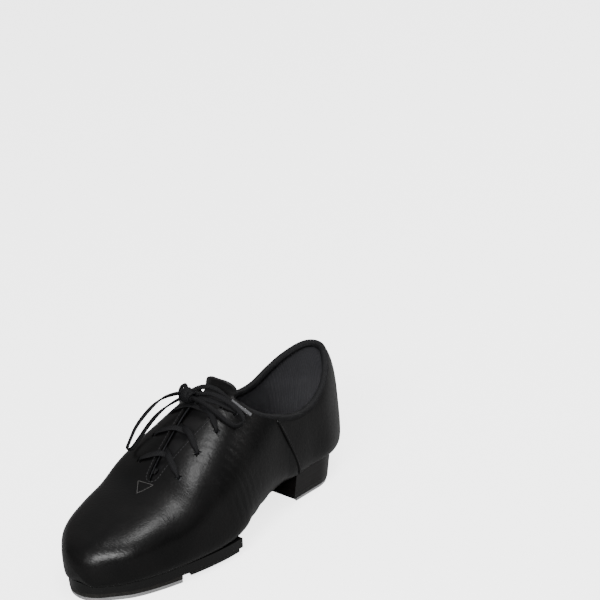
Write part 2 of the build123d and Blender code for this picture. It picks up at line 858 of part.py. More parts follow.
def corner_radii(points):
    """Largest radius that each corner's two runs allow."""
    radii = []
    for before, corner, after in zip(points, points[1:], points[2:]):
        run_in, run_out = corner - before, after - corner
        turn = math.radians(run_in.get_angle(run_out))
        shorter = min(run_in.length, run_out.length)
        radii.append(0.45 * shorter / math.tan(turn / 2))
    return radii


def cord(points, diameter, name):
    """Round tube along straight runs joined by tangent arcs."""
    points = [Vector(*p) for p in points]
    radii = corner_radii(points)
    with BuildPart() as tube:
        with BuildLine() as path:
            FilletPolyline(*points, radius=radii)
        with BuildSketch(Plane(origin=path.wire() @ 0, z_dir=path.wire() % 0)):
            Circle(diameter / 2)
        sweep()
    length = path.wire().length
    expected = math.pi * diameter**2 / 4 * length
    print(name, "length", round(length, 1), "volume share", round(tube.part.volume / expected, 3))
    print("  radii", [round(r, 1) for r in radii])
    return tube.part


for name, sign in (("lateral", 1), ("medial", -1)):
    route, last_side = held_route(sign)
    to_knot = knot_centre - route[-1]
    route.append(route[-1] + to_knot * 0.45 + Vector(0, 0, 3.5))
    route.append(knot_centre - to_knot.normalized() * (knot_radius - 1.0))
    save(cord(route, lace_tube, f"lace_half_{name}"), f"lace_half_{name}")

with BuildPart() as knot:
    with Locations(knot_centre):
        Sphere(knot_radius)
save(knot.part, "lace_knot")

# free loops and ends of the bow, from the knot and back
LOOP_MEDIAL = [
    (-16.5, -5.5, 99.5), (-20.0, -14.5, 100.5), (-22.5, -24.5, 98.5), (-25.0, -33.5, 92.5),
    (-27.3, -41.5, 85.0), (-27.9, -47.1, 77.0), (-29.6, -49.3, 70.8), (-29.2, -45.0, 68.6),
    (-29.4, -36.8, 73.2), (-28.2, -28.6, 80.4), (-25.8, -20.3, 87.2), (-21.3, -12.2, 92.6),
    (-17.0, -6.0, 95.5),
]
LOOP_LATERAL = [
    (-9.0, -0.5, 98.5), (-2.0, 2.6, 100.2), (6.0, 5.0, 99.6), (13.5, 6.8, 96.6), (19.8, 8.4, 92.4),
    (25.6, 8.0, 88.2), (27.8, 5.2, 84.8), (26.2, 0.8, 83.8), (21.4, -2.2, 86.0), (15.2, -3.4, 90.4),
    (8.2, -4.4, 94.4), (-0.6, -4.8, 97.2), (-8.5, -4.6, 97.6),
]
END_LATERAL = [
    (-13.0, -3.5, 99.5), (-9.0, 0.5, 102.5), (-4.5, 4.0, 103.8), (0.5, 6.5, 103.4), (6.0, 7.6, 101.5),
    (11.5, 9.0, 97.6),
]
AGLET_LATERAL = (26.4, 15.6, 86.4)
END_MEDIAL = [
    (-15.0, -1.5, 97.5), (-18.5, 1.5, 99.3), (-23.0, 4.5, 99.4), (-28.0, 8.0, 97.0), (-32.3, 10.0, 91.8),
    (-35.0, 11.5, 85.5),
]
AGLET_MEDIAL = (-38.0, 16.0, 66.0)
aglet_diameter = 2.8

save(cord(LOOP_MEDIAL, loop_tube, "lace_loop_medial"), "lace_loop_medial")
save(cord(LOOP_LATERAL, loop_tube, "lace_loop_lateral"), "lace_loop_lateral")
for name, points, tip in (
    ("lateral", END_LATERAL, AGLET_LATERAL),
    ("medial", END_MEDIAL, AGLET_MEDIAL),
):
    points = [Vector(*p) for p in points]
    run = (Vector(*tip) - points[-1]).normalized()
    points.append(points[-1] + run * 3.0)
    save(cord(points, loop_tube, f"lace_end_{name}"), f"lace_end_{name}")
    length = (Vector(*tip) - points[-1]).length
    with BuildPart() as aglet:
        with BuildSketch(Plane(origin=points[-1], z_dir=run)):
            Circle(aglet_diameter / 2)
        extrude(amount=length)
    save(aglet.part, f"aglet_{name}")
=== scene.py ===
"""Looks of the tap shoe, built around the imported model. Metres; toe towards -Y, lateral side +X."""

import functools
import math

import bmesh
import bpy
import numpy as np
from mathutils import Matrix, Vector


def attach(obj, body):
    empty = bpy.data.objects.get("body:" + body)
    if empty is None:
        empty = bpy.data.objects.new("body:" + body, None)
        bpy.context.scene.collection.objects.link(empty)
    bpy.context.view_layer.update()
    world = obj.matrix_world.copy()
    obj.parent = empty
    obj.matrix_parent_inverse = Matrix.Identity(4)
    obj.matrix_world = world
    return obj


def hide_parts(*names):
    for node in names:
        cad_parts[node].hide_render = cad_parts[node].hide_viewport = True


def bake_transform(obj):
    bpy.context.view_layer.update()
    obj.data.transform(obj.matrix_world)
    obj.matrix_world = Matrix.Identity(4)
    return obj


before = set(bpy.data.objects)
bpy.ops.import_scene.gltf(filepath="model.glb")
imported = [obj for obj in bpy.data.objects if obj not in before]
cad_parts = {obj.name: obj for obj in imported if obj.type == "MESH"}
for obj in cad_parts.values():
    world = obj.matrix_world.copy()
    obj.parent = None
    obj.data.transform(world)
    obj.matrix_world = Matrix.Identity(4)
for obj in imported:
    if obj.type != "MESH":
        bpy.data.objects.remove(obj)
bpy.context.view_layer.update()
scene = bpy.context.scene
MM = 0.001

# ---- camera ------------------------------------------------------------------------------------------
RIGHT = Vector((0.7712, 0.6357, -0.0321)).normalized()
BACK = Vector((0.5905, -0.6957, 0.4090)).normalized()
UP = BACK.cross(RIGHT).normalized()
RIGHT = UP.cross(BACK).normalized()
camera_data = bpy.data.cameras.new("camera")
camera_data.lens = 158.3
camera_data.sensor_width = 36.0
camera = bpy.data.objects.new("camera", camera_data)
scene.collection.objects.link(camera)
aim = Vector((0, 0, 0.045)) + RIGHT * 0.0617 + UP * 0.1143
place = aim + BACK * 1.8
turned = Matrix((RIGHT, UP, BACK)).transposed().to_4x4()
turned.translation = place
camera.matrix_world = turned
scene.camera = camera

# ---- the shape of the shoe: same numbers as the CAD, in millimetres ----------------------------------
SHOE_LENGTH = 258.0
HALF_LENGTH = SHOE_LENGTH / 2
SOLE_STACK = 10.5
HEEL_RISE = 11.0
UPPER_LEATHER = 1.3
WALL = 3.2                 # upper leather and lining together
PLAN = [
    (0, -5, -5), (3, -17, 7), (10, -26, 15), (25, -37, 28), (50, -42.6, 38.5), (75, -43.7, 45),
    (95, -42.2, 47.8), (115, -38.7, 47.8), (140, -35.5, 44), (170, -33, 37.5), (200, -31.5, 33.5),
    (225, -31, 31), (245, -22, 22), (254, -12.5, 12.5), (258, 0, 0),
]
PROFILE = [
    (0, 0.0, 12.0, 0.0), (3, 0.0, 1.5, 19.5), (10, 0.0, 0.0, 28.0), (25, 0.0, 0.0, 34.5),
    (50, 0.0, 0.0, 42.5), (66, 0.0, 0.0, 48.0), (82, 0.0, 0.0, 59.0), (100, 0.03, 0.0, 68.5),
    (120, 0.09, 0.0, 77.5), (140, 0.26, 0.0, 83.5), (160, 0.56, 0.0, 87.0), (190, 0.95, 0.0, 88.0),
    (215, 0.9, 0.0, 87.5), (235, 0.8, 0.0, 85.0), (248, 0.7, 2.0, 75.5), (255, 0.7, 11.0, 50.0),
    (258, 0.7, 33.0, 0.0),
]
LEAN = [(0, 0.0, 0), (60, 0.0, -4), (100, 0.08, -8), (140, 0.16, -8), (190, 0.2, -3), (258, 0.22, 0)]
TOP_POWER = 2.25
# distance from the toe, squareness of the lower corners, how far they tuck in above the sole
FEATHER = [
    (0, 7.0, 0.05), (60, 8.0, 0.05), (98, 8.0, 0.05), (128, 3.6, 0.0), (172, 3.6, 0.0), (192, 7.0, 0.03),
    (258, 7.0, 0.03),
]
RIM = [
    (138, 100), (146, 77), (152, 69.5), (160, 63.5), (168, 58.8), (180, 52), (194, 48.2),
    (208, 49.6), (222, 56.0), (235, 65.5), (246, 74.5), (254, 79), (258, 80),
]
THROAT = 73.0
FACING_TOP = 144.0
GAP_AT_THROAT = 6.0
GAP_AT_TOP = 27.0
GAP_DRIFT = -3.6
FIRST_EYELET = 79.0
EYELET_PITCH = 19.5
EYELET_PAIRS = 4
EYELET_SPREAD = 35.0
EYELET_OPENING = 3.2


def along(distance):
    """Angle that stands for a distance from the toe."""
    return math.acos(max(-1.0, min(1.0, 1 - 2 * distance / SHOE_LENGTH)))


def distance_at(angle):
    return SHOE_LENGTH * (1 - math.cos(angle)) / 2


def curve_through(table, column):
    """Smooth function of the station angle through one column of a table."""
    knots = [along(row[0]) for row in table]
    values = [row[column] for row in table]
    slopes = []
    for i in range(len(knots)):
        before, after = max(i - 1, 0), min(i + 1, len(knots) - 1)
        slopes.append((values[after] - values[before]) / (knots[after] - knots[before]))

    def value(angle):
        i = 0
        while i < len(knots) - 2 and angle > knots[i + 1]:
            i += 1
        span = knots[i + 1] - knots[i]
        s = (angle - knots[i]) / span
        start = values[i] * (1 + 2 * s) * (1 - s) ** 2 + slopes[i] * span * s * (1 - s) ** 2
        end = values[i + 1] * s * s * (3 - 2 * s) + slopes[i + 1] * span * s * s * (s - 1)
        return start + end

    return value


medial_edge = curve_through(PLAN, 1)
lateral_edge = curve_through(PLAN, 2)
rise_share = curve_through(PROFILE, 1)
tip_lift = curve_through(PROFILE, 2)
depth_of = curve_through(PROFILE, 3)
lean_of = curve_through(LEAN, 1)
ridge_of = curve_through(LEAN, 2)
rim_over_seat = curve_through(RIM, 1)
corner_power = curve_through(FEATHER, 1)
tuck_of = curve_through(FEATHER, 2)


def middle(angle):
    return (lateral_edge(angle) + medial_edge(angle)) / 2


def half_width(angle):
    return (lateral_edge(angle) - medial_edge(angle)) / 2


def half_depth(angle):
    return depth_of(angle) / 2


def bottom(angle):
    return SOLE_STACK + HEEL_RISE * rise_share(angle) + tip_lift(angle)


def seat(distance):
    """Height of the level that the foot stands on."""
    return SOLE_STACK + HEEL_RISE * rise_share(along(distance))


def slope(function, angle):
    step = 0.01
    low, high = max(angle - step, 0.0), min(angle + step, math.pi)
    return (function(high) - function(low)) / (high - low)


@functools.lru_cache(maxsize=None)
def section(angle, inset):
    """y, centre, half sizes, lean and ridge of one cross-section, drawn in by the inset."""
    run = HALF_LENGTH * math.sin(angle)
    width_slope, depth_slope = slope(half_width, angle), slope(half_depth, angle)
    y = -HALF_LENGTH * math.cos(angle) + inset * width_slope / math.hypot(run, width_slope)
    wide = half_width(angle) - inset * run / math.hypot(run, width_slope)
    deep = half_depth(angle) - inset * run / math.hypot(run, depth_slope)
    z = bottom(angle) + half_depth(angle)
    corner = (corner_power(angle), tuck_of(angle))
    return y, middle(angle), z, wide, deep, lean_of(angle), ridge_of(angle), corner


def last_point(angle, turn, inset=0.0):
    """Point of the surface: turn 0 is lateral, 90 the top, 180 medial, 270 (or -90) the sole."""
    y, x_mid, z_mid, wide, deep, lean, ridge, corner = section(angle, inset)
    c, s = math.cos(math.radians(turn)), math.sin(math.radians(turn))
    power = TOP_POWER if s > 0 else corner[0]
    reach = (abs(c) ** power + abs(s) ** power) ** (-1 / power)
    if s < 0:
        wide *= 1 - corner[1] * (reach * s) ** 2
    height = (deep * reach * s + deep) / (2 * deep)
    x = x_mid + wide * reach * c * (1 - lean * height) + ridge * height
    return Vector((x, y, z_mid + deep * reach * s))


def turn_where(angle, inset, low, high, past):
    """Turn between low and high at which past(point) becomes true."""
    for _ in range(30):
        turn = (low + high) / 2
        if past(last_point(angle, turn, inset)):
            high = turn
        else:
            low = turn
    return (low + high) / 2


def top_point(distance, x, inset=0.0):
    """Point on the upper half of the surface at a distance from the toe and a given x."""
    angle = along(distance)
    return last_point(angle, turn_where(angle, inset, 5.0, 175.0, lambda p: p.x < x), inset)


def top_frame(distance, x):
    """Outward normal and rearward direction of the surface there."""
    here = top_point(distance, x)
    ahead = top_point(distance + 1.0, x) - here
    aside = top_point(distance, x + 1.0) - here
    return aside.cross(ahead).normalized(), ahead.normalized()


def side_point(distance, z, sign, inset=0.0):
    """Point on the lateral (+1) or medial (-1) wall at a height."""
    angle = along(distance)
    if sign > 0:
        turn = turn_where(angle, inset, -80.0, 89.0, lambda p: p.z > z)
    else:
        turn = turn_where(angle, inset, 91.0, 260.0, lambda p: p.z < z)
    return last_point(angle, turn, inset)


def gap_line(distance):
    """Middle of the gap between the facings, and half its width."""
    share = (distance - THROAT) / (FACING_TOP - THROAT)
    return GAP_DRIFT * share, (GAP_AT_THROAT + share * (GAP_AT_TOP - GAP_AT_THROAT)) / 2


def eyelet(row, sign):
    """Distance from the toe and x of one eyelet."""
    centre = GAP_DRIFT * row / (EYELET_PAIRS - 1)
    spread = EYELET_SPREAD + EYELET_OPENING * row
    return FIRST_EYELET + EYELET_PITCH * row, centre + sign * spread / 2


def open_turns(angle, inset):
    """Turns of the lateral and medial edges of the opening; equal where the upper is closed."""
    distance = distance_at(angle)
    centre, half = gap_line(distance)
    low_half = GAP_AT_THROAT / 2
    if distance < THROAT:
        drop = THROAT - distance
        half = math.sqrt(low_half**2 - drop**2) if drop < low_half else 0.0
    if distance < 150:
        lateral = turn_where(angle, inset, 5.0, 175.0, lambda p: p.x < centre + half)
        medial = turn_where(angle, inset, 5.0, 175.0, lambda p: p.x < centre - half)
    else:
        lateral, medial = 90.0, 90.0
    if distance > 138.2:
        rim = seat(distance) + rim_over_seat(angle)
        if last_point(angle, 90.0, inset).z > rim:
            lateral = min(lateral, turn_where(angle, inset, 0.0, 90.0, lambda p: p.z > rim))
            medial = max(medial, turn_where(angle, inset, 90.0, 180.0, lambda p: p.z < rim))
    return lateral, medial


def rear_close():
    """Distance from the toe at which the topline closes behind the heel."""
    low, high = 230.0, 257.0
    for _ in range(30):
        distance = (low + high) / 2
        lateral, medial = open_turns(along(distance), 0.0)
        if medial > lateral:
            low = distance
        else:
            high = distance
    return low


REAR_CLOSE = rear_close()

# ---- small tools -------------------------------------------------------------------------------------
def metres(points):
    return [Vector(p) * MM for p in points]


def new_object(name, mesh, material, smooth=True):
    piece = bpy.data.objects.new(name, mesh)
    scene.collection.objects.link(piece)
    mesh.materials.append(material)
    if smooth:
        mesh.shade_smooth()
    return piece


def grid_mesh(name, rows, material, wrap=False, caps=False, weld=0.0):
    """Object from rows of points in millimetres; wrap closes each row, caps closes the ends."""
    width = len(rows[0])
    mesh = bpy.data.meshes.new(name)
    build = bmesh.new()
    vertices = [[build.verts.new(Vector(p) * MM) for p in row] for row in rows]
    uv_layer = build.loops.layers.uv.new("UVMap")
    lengths = [0.0]
    for a, b in zip(rows, rows[1:]):
        lengths.append(lengths[-1] + (Vector(b[width // 2]) - Vector(a[width // 2])).length * MM)
    for j in range(len(rows) - 1):
        for i in range(width if wrap else width - 1):
            after = (i + 1) % width
            face = build.faces.new(
                (vertices[j][i], vertices[j][after], vertices[j + 1][after], vertices[j + 1][i])
            )
            corners = ((i, j), (i + 1, j), (i + 1, j + 1), (i, j + 1))
            for loop, (u, v) in zip(face.loops, corners):
                loop[uv_layer].uv = (u / width, lengths[v])
    if caps:
        build.faces.new(list(reversed(vertices[0])))
        build.faces.new(vertices[-1])
    if weld:
        bmesh.ops.remove_doubles(build, verts=build.verts[:], dist=weld)
    bmesh.ops.recalc_face_normals(build, faces=build.faces[:])
    build.to_mesh(mesh)
    build.free()
    return new_object(name, mesh, material)


def nurbs_line(name, points, steps=10):
    """Points along the smooth line that has these points (millimetres) as its control points."""
    data = bpy.data.curves.new(name, "CURVE")
    data.dimensions = "3D"
    data.resolution_u = steps
    spline = data.splines.new("NURBS")
    spline.points.add(len(points) - 1)
    for target, point in zip(spline.points, metres(points)):
        target.co = (point.x, point.y, point.z, 1.0)
    spline.order_u = 3
    spline.use_endpoint_u = True
    holder = bpy.data.objects.new(name, data)
    scene.collection.objects.link(holder)
    sampled = bpy.data.meshes.new_from_object(holder)
    line = [v.co / MM for v in sampled.vertices]
    bpy.data.objects.remove(holder)
    return line


def tangents(line):
    found = []
    for i in range(len(line)):
        before, after = line[max(i - 1, 0)], line[min(i + 1, len(line) - 1)]
        found.append((after - before).normalized())
    return found


def ribbon(name, line, widths, thicknesses, hints, material, corners=14):
    """Flat lace along a line. Each hint is the direction of its width there."""
    rows = []
    for point, tangent, width, thick, hint in zip(line, tangents(line), widths, thicknesses, hints):
        side = (hint - tangent * hint.dot(tangent)).normalized()
        normal = tangent.cross(side)
        row = []
        for k in range(corners):
            turn = 2 * math.pi * k / corners
            c, s = math.cos(turn), math.sin(turn)
            reach = (abs(c) ** 2.8 + abs(s) ** 2.8) ** (-1 / 2.8)
            row.append(point + side * (width / 2 * c * reach) + normal * (thick / 2 * s * reach))
        rows.append(row)
    return grid_mesh(name, rows, material, wrap=True, caps=True)


def smooth_step(x):
    x = max(0.0, min(1.0, x))
    return x * x * (3 - 2 * x)


def blend_arch(piece):
    """Leather that crosses the soft arch between the forefoot and the heel part; only its transform is baked
    into its mesh.
    """
    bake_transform(piece)


def node(tree, kind, **settings):
    made = tree.nodes.new(kind)
    for key, value in settings.items():
        if key in made.inputs:
            made.inputs[key].default_value = value
        else:
            setattr(made, key, value)
    return made


def new_material(name, color, roughness, metallic=0.0):
    made = bpy.data.materials.new(name)
    made.use_nodes = True
    shader = made.node_tree.nodes["Principled BSDF"]
    shader.inputs["Base Color"].default_value = (*color, 1.0)
    shader.inputs["Roughness"].default_value = roughness
    shader.inputs["Metallic"].default_value = metallic
    made.diffuse_color = (*color, 1.0)
    return made, made.node_tree, shader


def coordinates(tree, kind="Object"):
    return tree.nodes.new("ShaderNodeTexCoord").outputs[kind]


def noise(tree, vector, scale, detail=3.0, distortion=0.0):
    made = node(tree, "ShaderNodeTexNoise")
    made.inputs["Scale"].default_value = scale
    made.inputs["Detail"].default_value = detail
    made.inputs["Distortion"].default_value = distortion
    tree.links.new(vector, made.inputs["Vector"])
    return made.outputs["Fac"]


def ramp(tree, factor, *stops):
    """Colours at positions along a factor."""
    made = tree.nodes.new("ShaderNodeValToRGB")
    while len(made.color_ramp.elements) < len(stops):
        made.color_ramp.elements.new(0.5)
    for element, (position, color) in zip(made.color_ramp.elements, stops):
        element.position = position
        element.color = (*color, 1.0)
    tree.links.new(factor, made.inputs["Fac"])
    return made.outputs["Color"]


def span(tree, factor, low, high, start=0.0, end=1.0):
    """Factor from start..end mapped on low..high."""
    made = tree.nodes.new("ShaderNodeMapRange")
    for key, value in (("From Min", start), ("From Max", end), ("To Min", low), ("To Max", high)):
        made.inputs[key].default_value = value
    tree.links.new(factor, made.inputs["Value"])
    return made.outputs["Result"]


def math_node(tree, operation, a, b=None):
    made = node(tree, "ShaderNodeMath", operation=operation)
    for slot, value in ((0, a), (1, b)):
        if value is None:
            continue
        if isinstance(value, (int, float)):
            made.inputs[slot].default_value = value
        else:
            tree.links.new(value, made.inputs[slot])
    return made.outputs["Value"]


def bumps(tree, shader, *layers):
    """Chain of bumps; each layer is height, strength, distance in metres."""
    normal = None
    for height, strength, distance in layers:
        made = node(tree, "ShaderNodeBump")
        made.inputs["Strength"].default_value = strength
        made.inputs["Distance"].default_value = distance
        tree.links.new(height, made.inputs["Height"])
        if normal:
            tree.links.new(normal, made.inputs["Normal"])
        normal = made.outputs["Normal"]
    tree.links.new(normal, shader.inputs["Normal"])


def cells(tree, vector, scale, feature="F1"):
    made = node(tree, "ShaderNodeTexVoronoi", feature=feature)
    made.inputs["Scale"].default_value = scale
    tree.links.new(vector, made.inputs["Vector"])
    return made.outputs["Distance"]


# ---- materials ---------------------------------------------------------------------------------------
def leather_material(name, dark, light, rough_low, rough_high, grain=1.0):
    """Smooth finished leather: fine pores, faint cloudiness and soft draw lines."""
    made, tree, shader = new_material(name, light, (rough_low + rough_high) / 2)
    vector = coordinates(tree)
    cloud = noise(tree, vector, 38.0, 4.0, 0.4)
    fine = noise(tree, vector, 420.0, 5.0, 0.2)
    tree.links.new(ramp(tree, cloud, (0.3, dark), (0.72, light)), shader.inputs["Base Color"])
    rough = math_node(tree, "ADD", span(tree, cloud, rough_low, rough_high), span(tree, fine, -0.05, 0.05))
    tree.links.new(rough, shader.inputs["Roughness"])
    pores = cells(tree, vector, 1300.0)
    draw = noise(tree, vector, 150.0, 3.0, 1.2)
    across = node(tree, "ShaderNodeMapping")
    across.inputs["Scale"].default_value = (0.35, 1.6, 1.0)
    tree.links.new(vector, across.inputs["Vector"])
    wrinkles = noise(tree, across.outputs["Vector"], 330.0, 4.0, 0.9)
    bumps(
        tree, shader, (draw, 0.10 * grain, 0.0009), (wrinkles, 0.22 * grain, 0.0007),
        (fine, 0.16 * grain, 0.0004), (pores, 0.12 * grain, 0.0002),
    )
    shader.inputs["Specular IOR Level"].default_value = 0.22
    return made


upper_leather = leather_material(
    "upper_leather", (0.0015, 0.0015, 0.0016), (0.004, 0.0037, 0.0037), 0.26, 0.38
)
tongue_leather = leather_material(
    "tongue_leather", (0.006, 0.006, 0.0065), (0.014, 0.0135, 0.0135), 0.34, 0.46
)
sock_leather = leather_material("sock_leather", (0.05, 0.047, 0.044), (0.10, 0.094, 0.088), 0.5, 0.65, 1.4)


def woven_material(name, dark, light, pitch, rough):
    """Plain weave of warp and weft at a pitch in metres."""
    made, tree, shader = new_material(name, light, rough)
    vector = coordinates(tree)
    waves = []
    for direction in ("X", "Y", "Z"):
        wave = node(tree, "ShaderNodeTexWave", bands_direction=direction)
        wave.inputs["Scale"].default_value = 0.314 / pitch
        wave.inputs["Distortion"].default_value = 0.6
        tree.links.new(vector, wave.inputs["Vector"])
        waves.append(wave.outputs["Fac"])
    weave = math_node(tree, "MULTIPLY", math_node(tree, "ADD", waves[0], waves[1]), waves[2])
    cloud = noise(tree, vector, 70.0, 4.0)
    tint = math_node(tree, "MULTIPLY", span(tree, weave, 0.55, 1.0), span(tree, cloud, 0.6, 1.2))
    tree.links.new(ramp(tree, tint, (0.2, dark), (0.9, light)), shader.inputs["Base Color"])
    bumps(tree, shader, (weave, 0.5, 0.0002), (cloud, 0.1, 0.0006))
    shader.inputs["Specular IOR Level"].default_value = 0.12
    return made


lining_cloth = woven_material("lining_cloth", (0.018, 0.018, 0.02), (0.055, 0.055, 0.06), 0.0008, 0.8)
binding_tape = woven_material("binding_tape", (0.004, 0.004, 0.0045), (0.014, 0.014, 0.015), 0.0006, 0.6)


def lace_material():
    """Braid of the flat lace: slanted strands that cross, read along its length."""
    made, tree, shader = new_material("lace_braid", (0.012, 0.012, 0.013), 0.62)
    uv = coordinates(tree, "UV")
    split = node(tree, "ShaderNodeSeparateXYZ")
    tree.links.new(uv, split.inputs["Vector"])
    around = math_node(tree, "MULTIPLY", split.outputs["X"], 2 * math.pi * 5)
    lengthways = math_node(tree, "MULTIPLY", split.outputs["Y"], 2 * math.pi / 0.0014)
    one = math_node(tree, "SINE", math_node(tree, "ADD", around, lengthways))
    other = math_node(tree, "SINE", math_node(tree, "SUBTRACT", around, lengthways))
    braid = math_node(tree, "MAXIMUM", one, other)
    fluff = noise(tree, coordinates(tree), 900.0, 3.0)
    tint = math_node(tree, "MULTIPLY", span(tree, braid, 0.3, 1.0, -1.0, 1.0), span(tree, fluff, 0.6, 1.3))
    color = ramp(tree, tint, (0.15, (0.0015, 0.0015, 0.0018)), (0.95, (0.008, 0.008, 0.0088)))
    tree.links.new(color, shader.inputs["Base Color"])
    bumps(tree, shader, (braid, 0.45, 0.00025), (fluff, 0.3, 0.00015))
    shader.inputs["Specular IOR Level"].default_value = 0.12
    return made


lace_braid = lace_material()


def thread_material(name, color):
    """Twisted sewing thread."""
    made, tree, shader = new_material(name, color, 0.55)
    vector = coordinates(tree)
    twist = node(tree, "ShaderNodeTexWave", bands_direction="DIAGONAL")
    twist.inputs["Scale"].default_value = 900.0
    tree.links.new(vector, twist.inputs["Vector"])
    dark = tuple(c * 0.55 for c in color)
    tree.links.new(ramp(tree, twist.outputs["Fac"], (0.1, dark), (0.8, color)), shader.inputs["Base Color"])
    bumps(tree, shader, (twist.outputs["Fac"], 0.4, 0.0001))
    return made


black_thread = thread_material("black_thread", (0.02, 0.02, 0.022))
pale_thread = thread_material("pale_thread", (0.085, 0.082, 0.08))


def scuffed_metal(name, color, low, high, scratch):
    """Metal with fine random scratches, worn bright at places."""
    made, tree, shader = new_material(name, color, (low + high) / 2, 1.0)
    vector = coordinates(tree)
    stretched = node(tree, "ShaderNodeMapping")
    stretched.inputs["Rotation"].default_value = (0.0, 0.0, 0.5)
    stretched.inputs["Scale"].default_value = (1.0, 14.0, 1.0)
    tree.links.new(vector, stretched.inputs["Vector"])
    hair = noise(tree, stretched.outputs["Vector"], 180.0, 6.0, 0.3)
    crossed = node(tree, "ShaderNodeMapping")
    crossed.inputs["Rotation"].default_value = (0.0, 0.0, -0.9)
    crossed.inputs["Scale"].default_value = (1.0, 22.0, 1.0)
    tree.links.new(vector, crossed.inputs["Vector"])
    deep = noise(tree, crossed.outputs["Vector"], 60.0, 4.0, 0.8)
    worn = noise(tree, vector, 45.0, 5.0, 0.5)
    rough = math_node(tree, "ADD", span(tree, hair, low, high), span(tree, worn, -0.06, 0.08))
    tree.links.new(rough, shader.inputs["Roughness"])
    dull = tuple(c * 0.72 for c in color)
    tree.links.new(ramp(tree, worn, (0.25, dull), (0.7, color)), shader.inputs["Base Color"])
    bumps(tree, shader, (hair, scratch, 0.00012), (deep, scratch, 0.0002))
    return made


aluminium = scuffed_metal("aluminium", (0.83, 0.83, 0.84), 0.26, 0.46, 0.35)
steel = scuffed_metal("screw_steel", (0.66, 0.66, 0.67), 0.2, 0.36, 0.2)


def sole_leather(name, pale, dark, edge_black):
    """Natural sole leather with fibres; the painted edge is black where edge_black is true."""
    made, tree, shader = new_material(name, pale, 0.55)
    vector = coordinates(tree)
    fibre = noise(tree, vector, 260.0, 6.0, 0.6)
    cloud = noise(tree, vector, 30.0, 4.0, 0.3)
    mixed = math_node(tree, "MULTIPLY", span(tree, fibre, 0.7, 1.2), span(tree, cloud, 0.75, 1.15))
    tan = ramp(tree, mixed, (0.45, dark), (1.0, pale))
    if edge_black:
        geometry = tree.nodes.new("ShaderNodeNewGeometry")
        split = node(tree, "ShaderNodeSeparateXYZ")
        tree.links.new(geometry.outputs["True Normal"], split.inputs["Vector"])
        level = span(tree, math_node(tree, "MULTIPLY", split.outputs["Z"], -1.0), 0.0, 1.0, 0.90, 0.97)
        paint = node(tree, "ShaderNodeMix", data_type="RGBA")
        tree.links.new(level, paint.inputs["Factor"])
        paint.inputs[6].default_value = (0.005, 0.005, 0.005, 1.0)
        tree.links.new(tan, paint.inputs[7])
        tree.links.new(paint.outputs[2], shader.inputs["Base Color"])
        gloss = math_node(tree, "ADD", span(tree, level, 0.24, 0.55), span(tree, fibre, -0.05, 0.08))
        tree.links.new(gloss, shader.inputs["Roughness"])
    else:
        tree.links.new(tan, shader.inputs["Base Color"])
        tree.links.new(span(tree, fibre, 0.42, 0.62), shader.inputs["Roughness"])
    bumps(tree, shader, (fibre, 0.25, 0.0003), (cloud, 0.1, 0.0008))
    shader.inputs["Specular IOR Level"].default_value = 0.3
    return made


outsole_leather = sole_leather("outsole_leather", (0.66, 0.42, 0.22), (0.36, 0.2, 0.09), True)
heel_tan = sole_leather("heel_tan", (0.62, 0.4, 0.21), (0.4, 0.23, 0.11), True)
insole_fibre = sole_leather("insole_fibre", (0.42, 0.3, 0.18), (0.26, 0.18, 0.1), False)


def rubber_material():
    """Black rubber with a fine raised diamond pattern."""
    made, tree, shader = new_material("rubber_diamond", (0.012, 0.012, 0.012), 0.62)
    vector = coordinates(tree)
    split = node(tree, "ShaderNodeSeparateXYZ")
    tree.links.new(vector, split.inputs["Vector"])
    across = math_node(tree, "MULTIPLY", split.outputs["X"], 2 * math.pi / 0.0042)
    lengthways = math_node(tree, "MULTIPLY", split.outputs["Y"], 2 * math.pi / 0.0030)
    one = math_node(tree, "COSINE", math_node(tree, "ADD", across, lengthways))
    other = math_node(tree, "COSINE", math_node(tree, "SUBTRACT", across, lengthways))
    ridge = math_node(tree, "MAXIMUM", one, other)
    raised = span(tree, ridge, 0.0, 1.0, 0.55, 0.95)
    dust = noise(tree, vector, 160.0, 5.0)
    tint = math_node(tree, "MULTIPLY", span(tree, raised, 0.35, 1.0), span(tree, dust, 0.5, 1.3))
    color = ramp(tree, tint, (0.2, (0.006, 0.006, 0.006)), (1.0, (0.035, 0.035, 0.036)))
    tree.links.new(color, shader.inputs["Base Color"])
    tree.links.new(span(tree, raised, 0.72, 0.42), shader.inputs["Roughness"])
    bumps(tree, shader, (raised, 1.0, 0.0006), (dust, 0.2, 0.0002))
    shader.inputs["Specular IOR Level"].default_value = 0.25
    return made


rubber_diamond = rubber_material()


def board_material():
    """Compressed fibre board, painted black, with a slightly open edge."""
    made, tree, shader = new_material("tap_board", (0.012, 0.011, 0.011), 0.5)
    vector = coordinates(tree)
    layers = node(tree, "ShaderNodeTexWave", bands_direction="Z")
    layers.inputs["Scale"].default_value = 260.0
    layers.inputs["Distortion"].default_value = 1.5
    tree.links.new(vector, layers.inputs["Vector"])
    grit = noise(tree, vector, 500.0, 5.0)
    color = ramp(tree, grit, (0.3, (0.006, 0.006, 0.006)), (0.8, (0.022, 0.02, 0.018)))
    tree.links.new(color, shader.inputs["Base Color"])
    tree.links.new(span(tree, grit, 0.35, 0.6), shader.inputs["Roughness"])
    bumps(tree, shader, (layers.outputs["Fac"], 0.25, 0.0002), (grit, 0.2, 0.0002))
    shader.inputs["Specular IOR Level"].default_value = 0.3
    return made


tap_board = board_material()


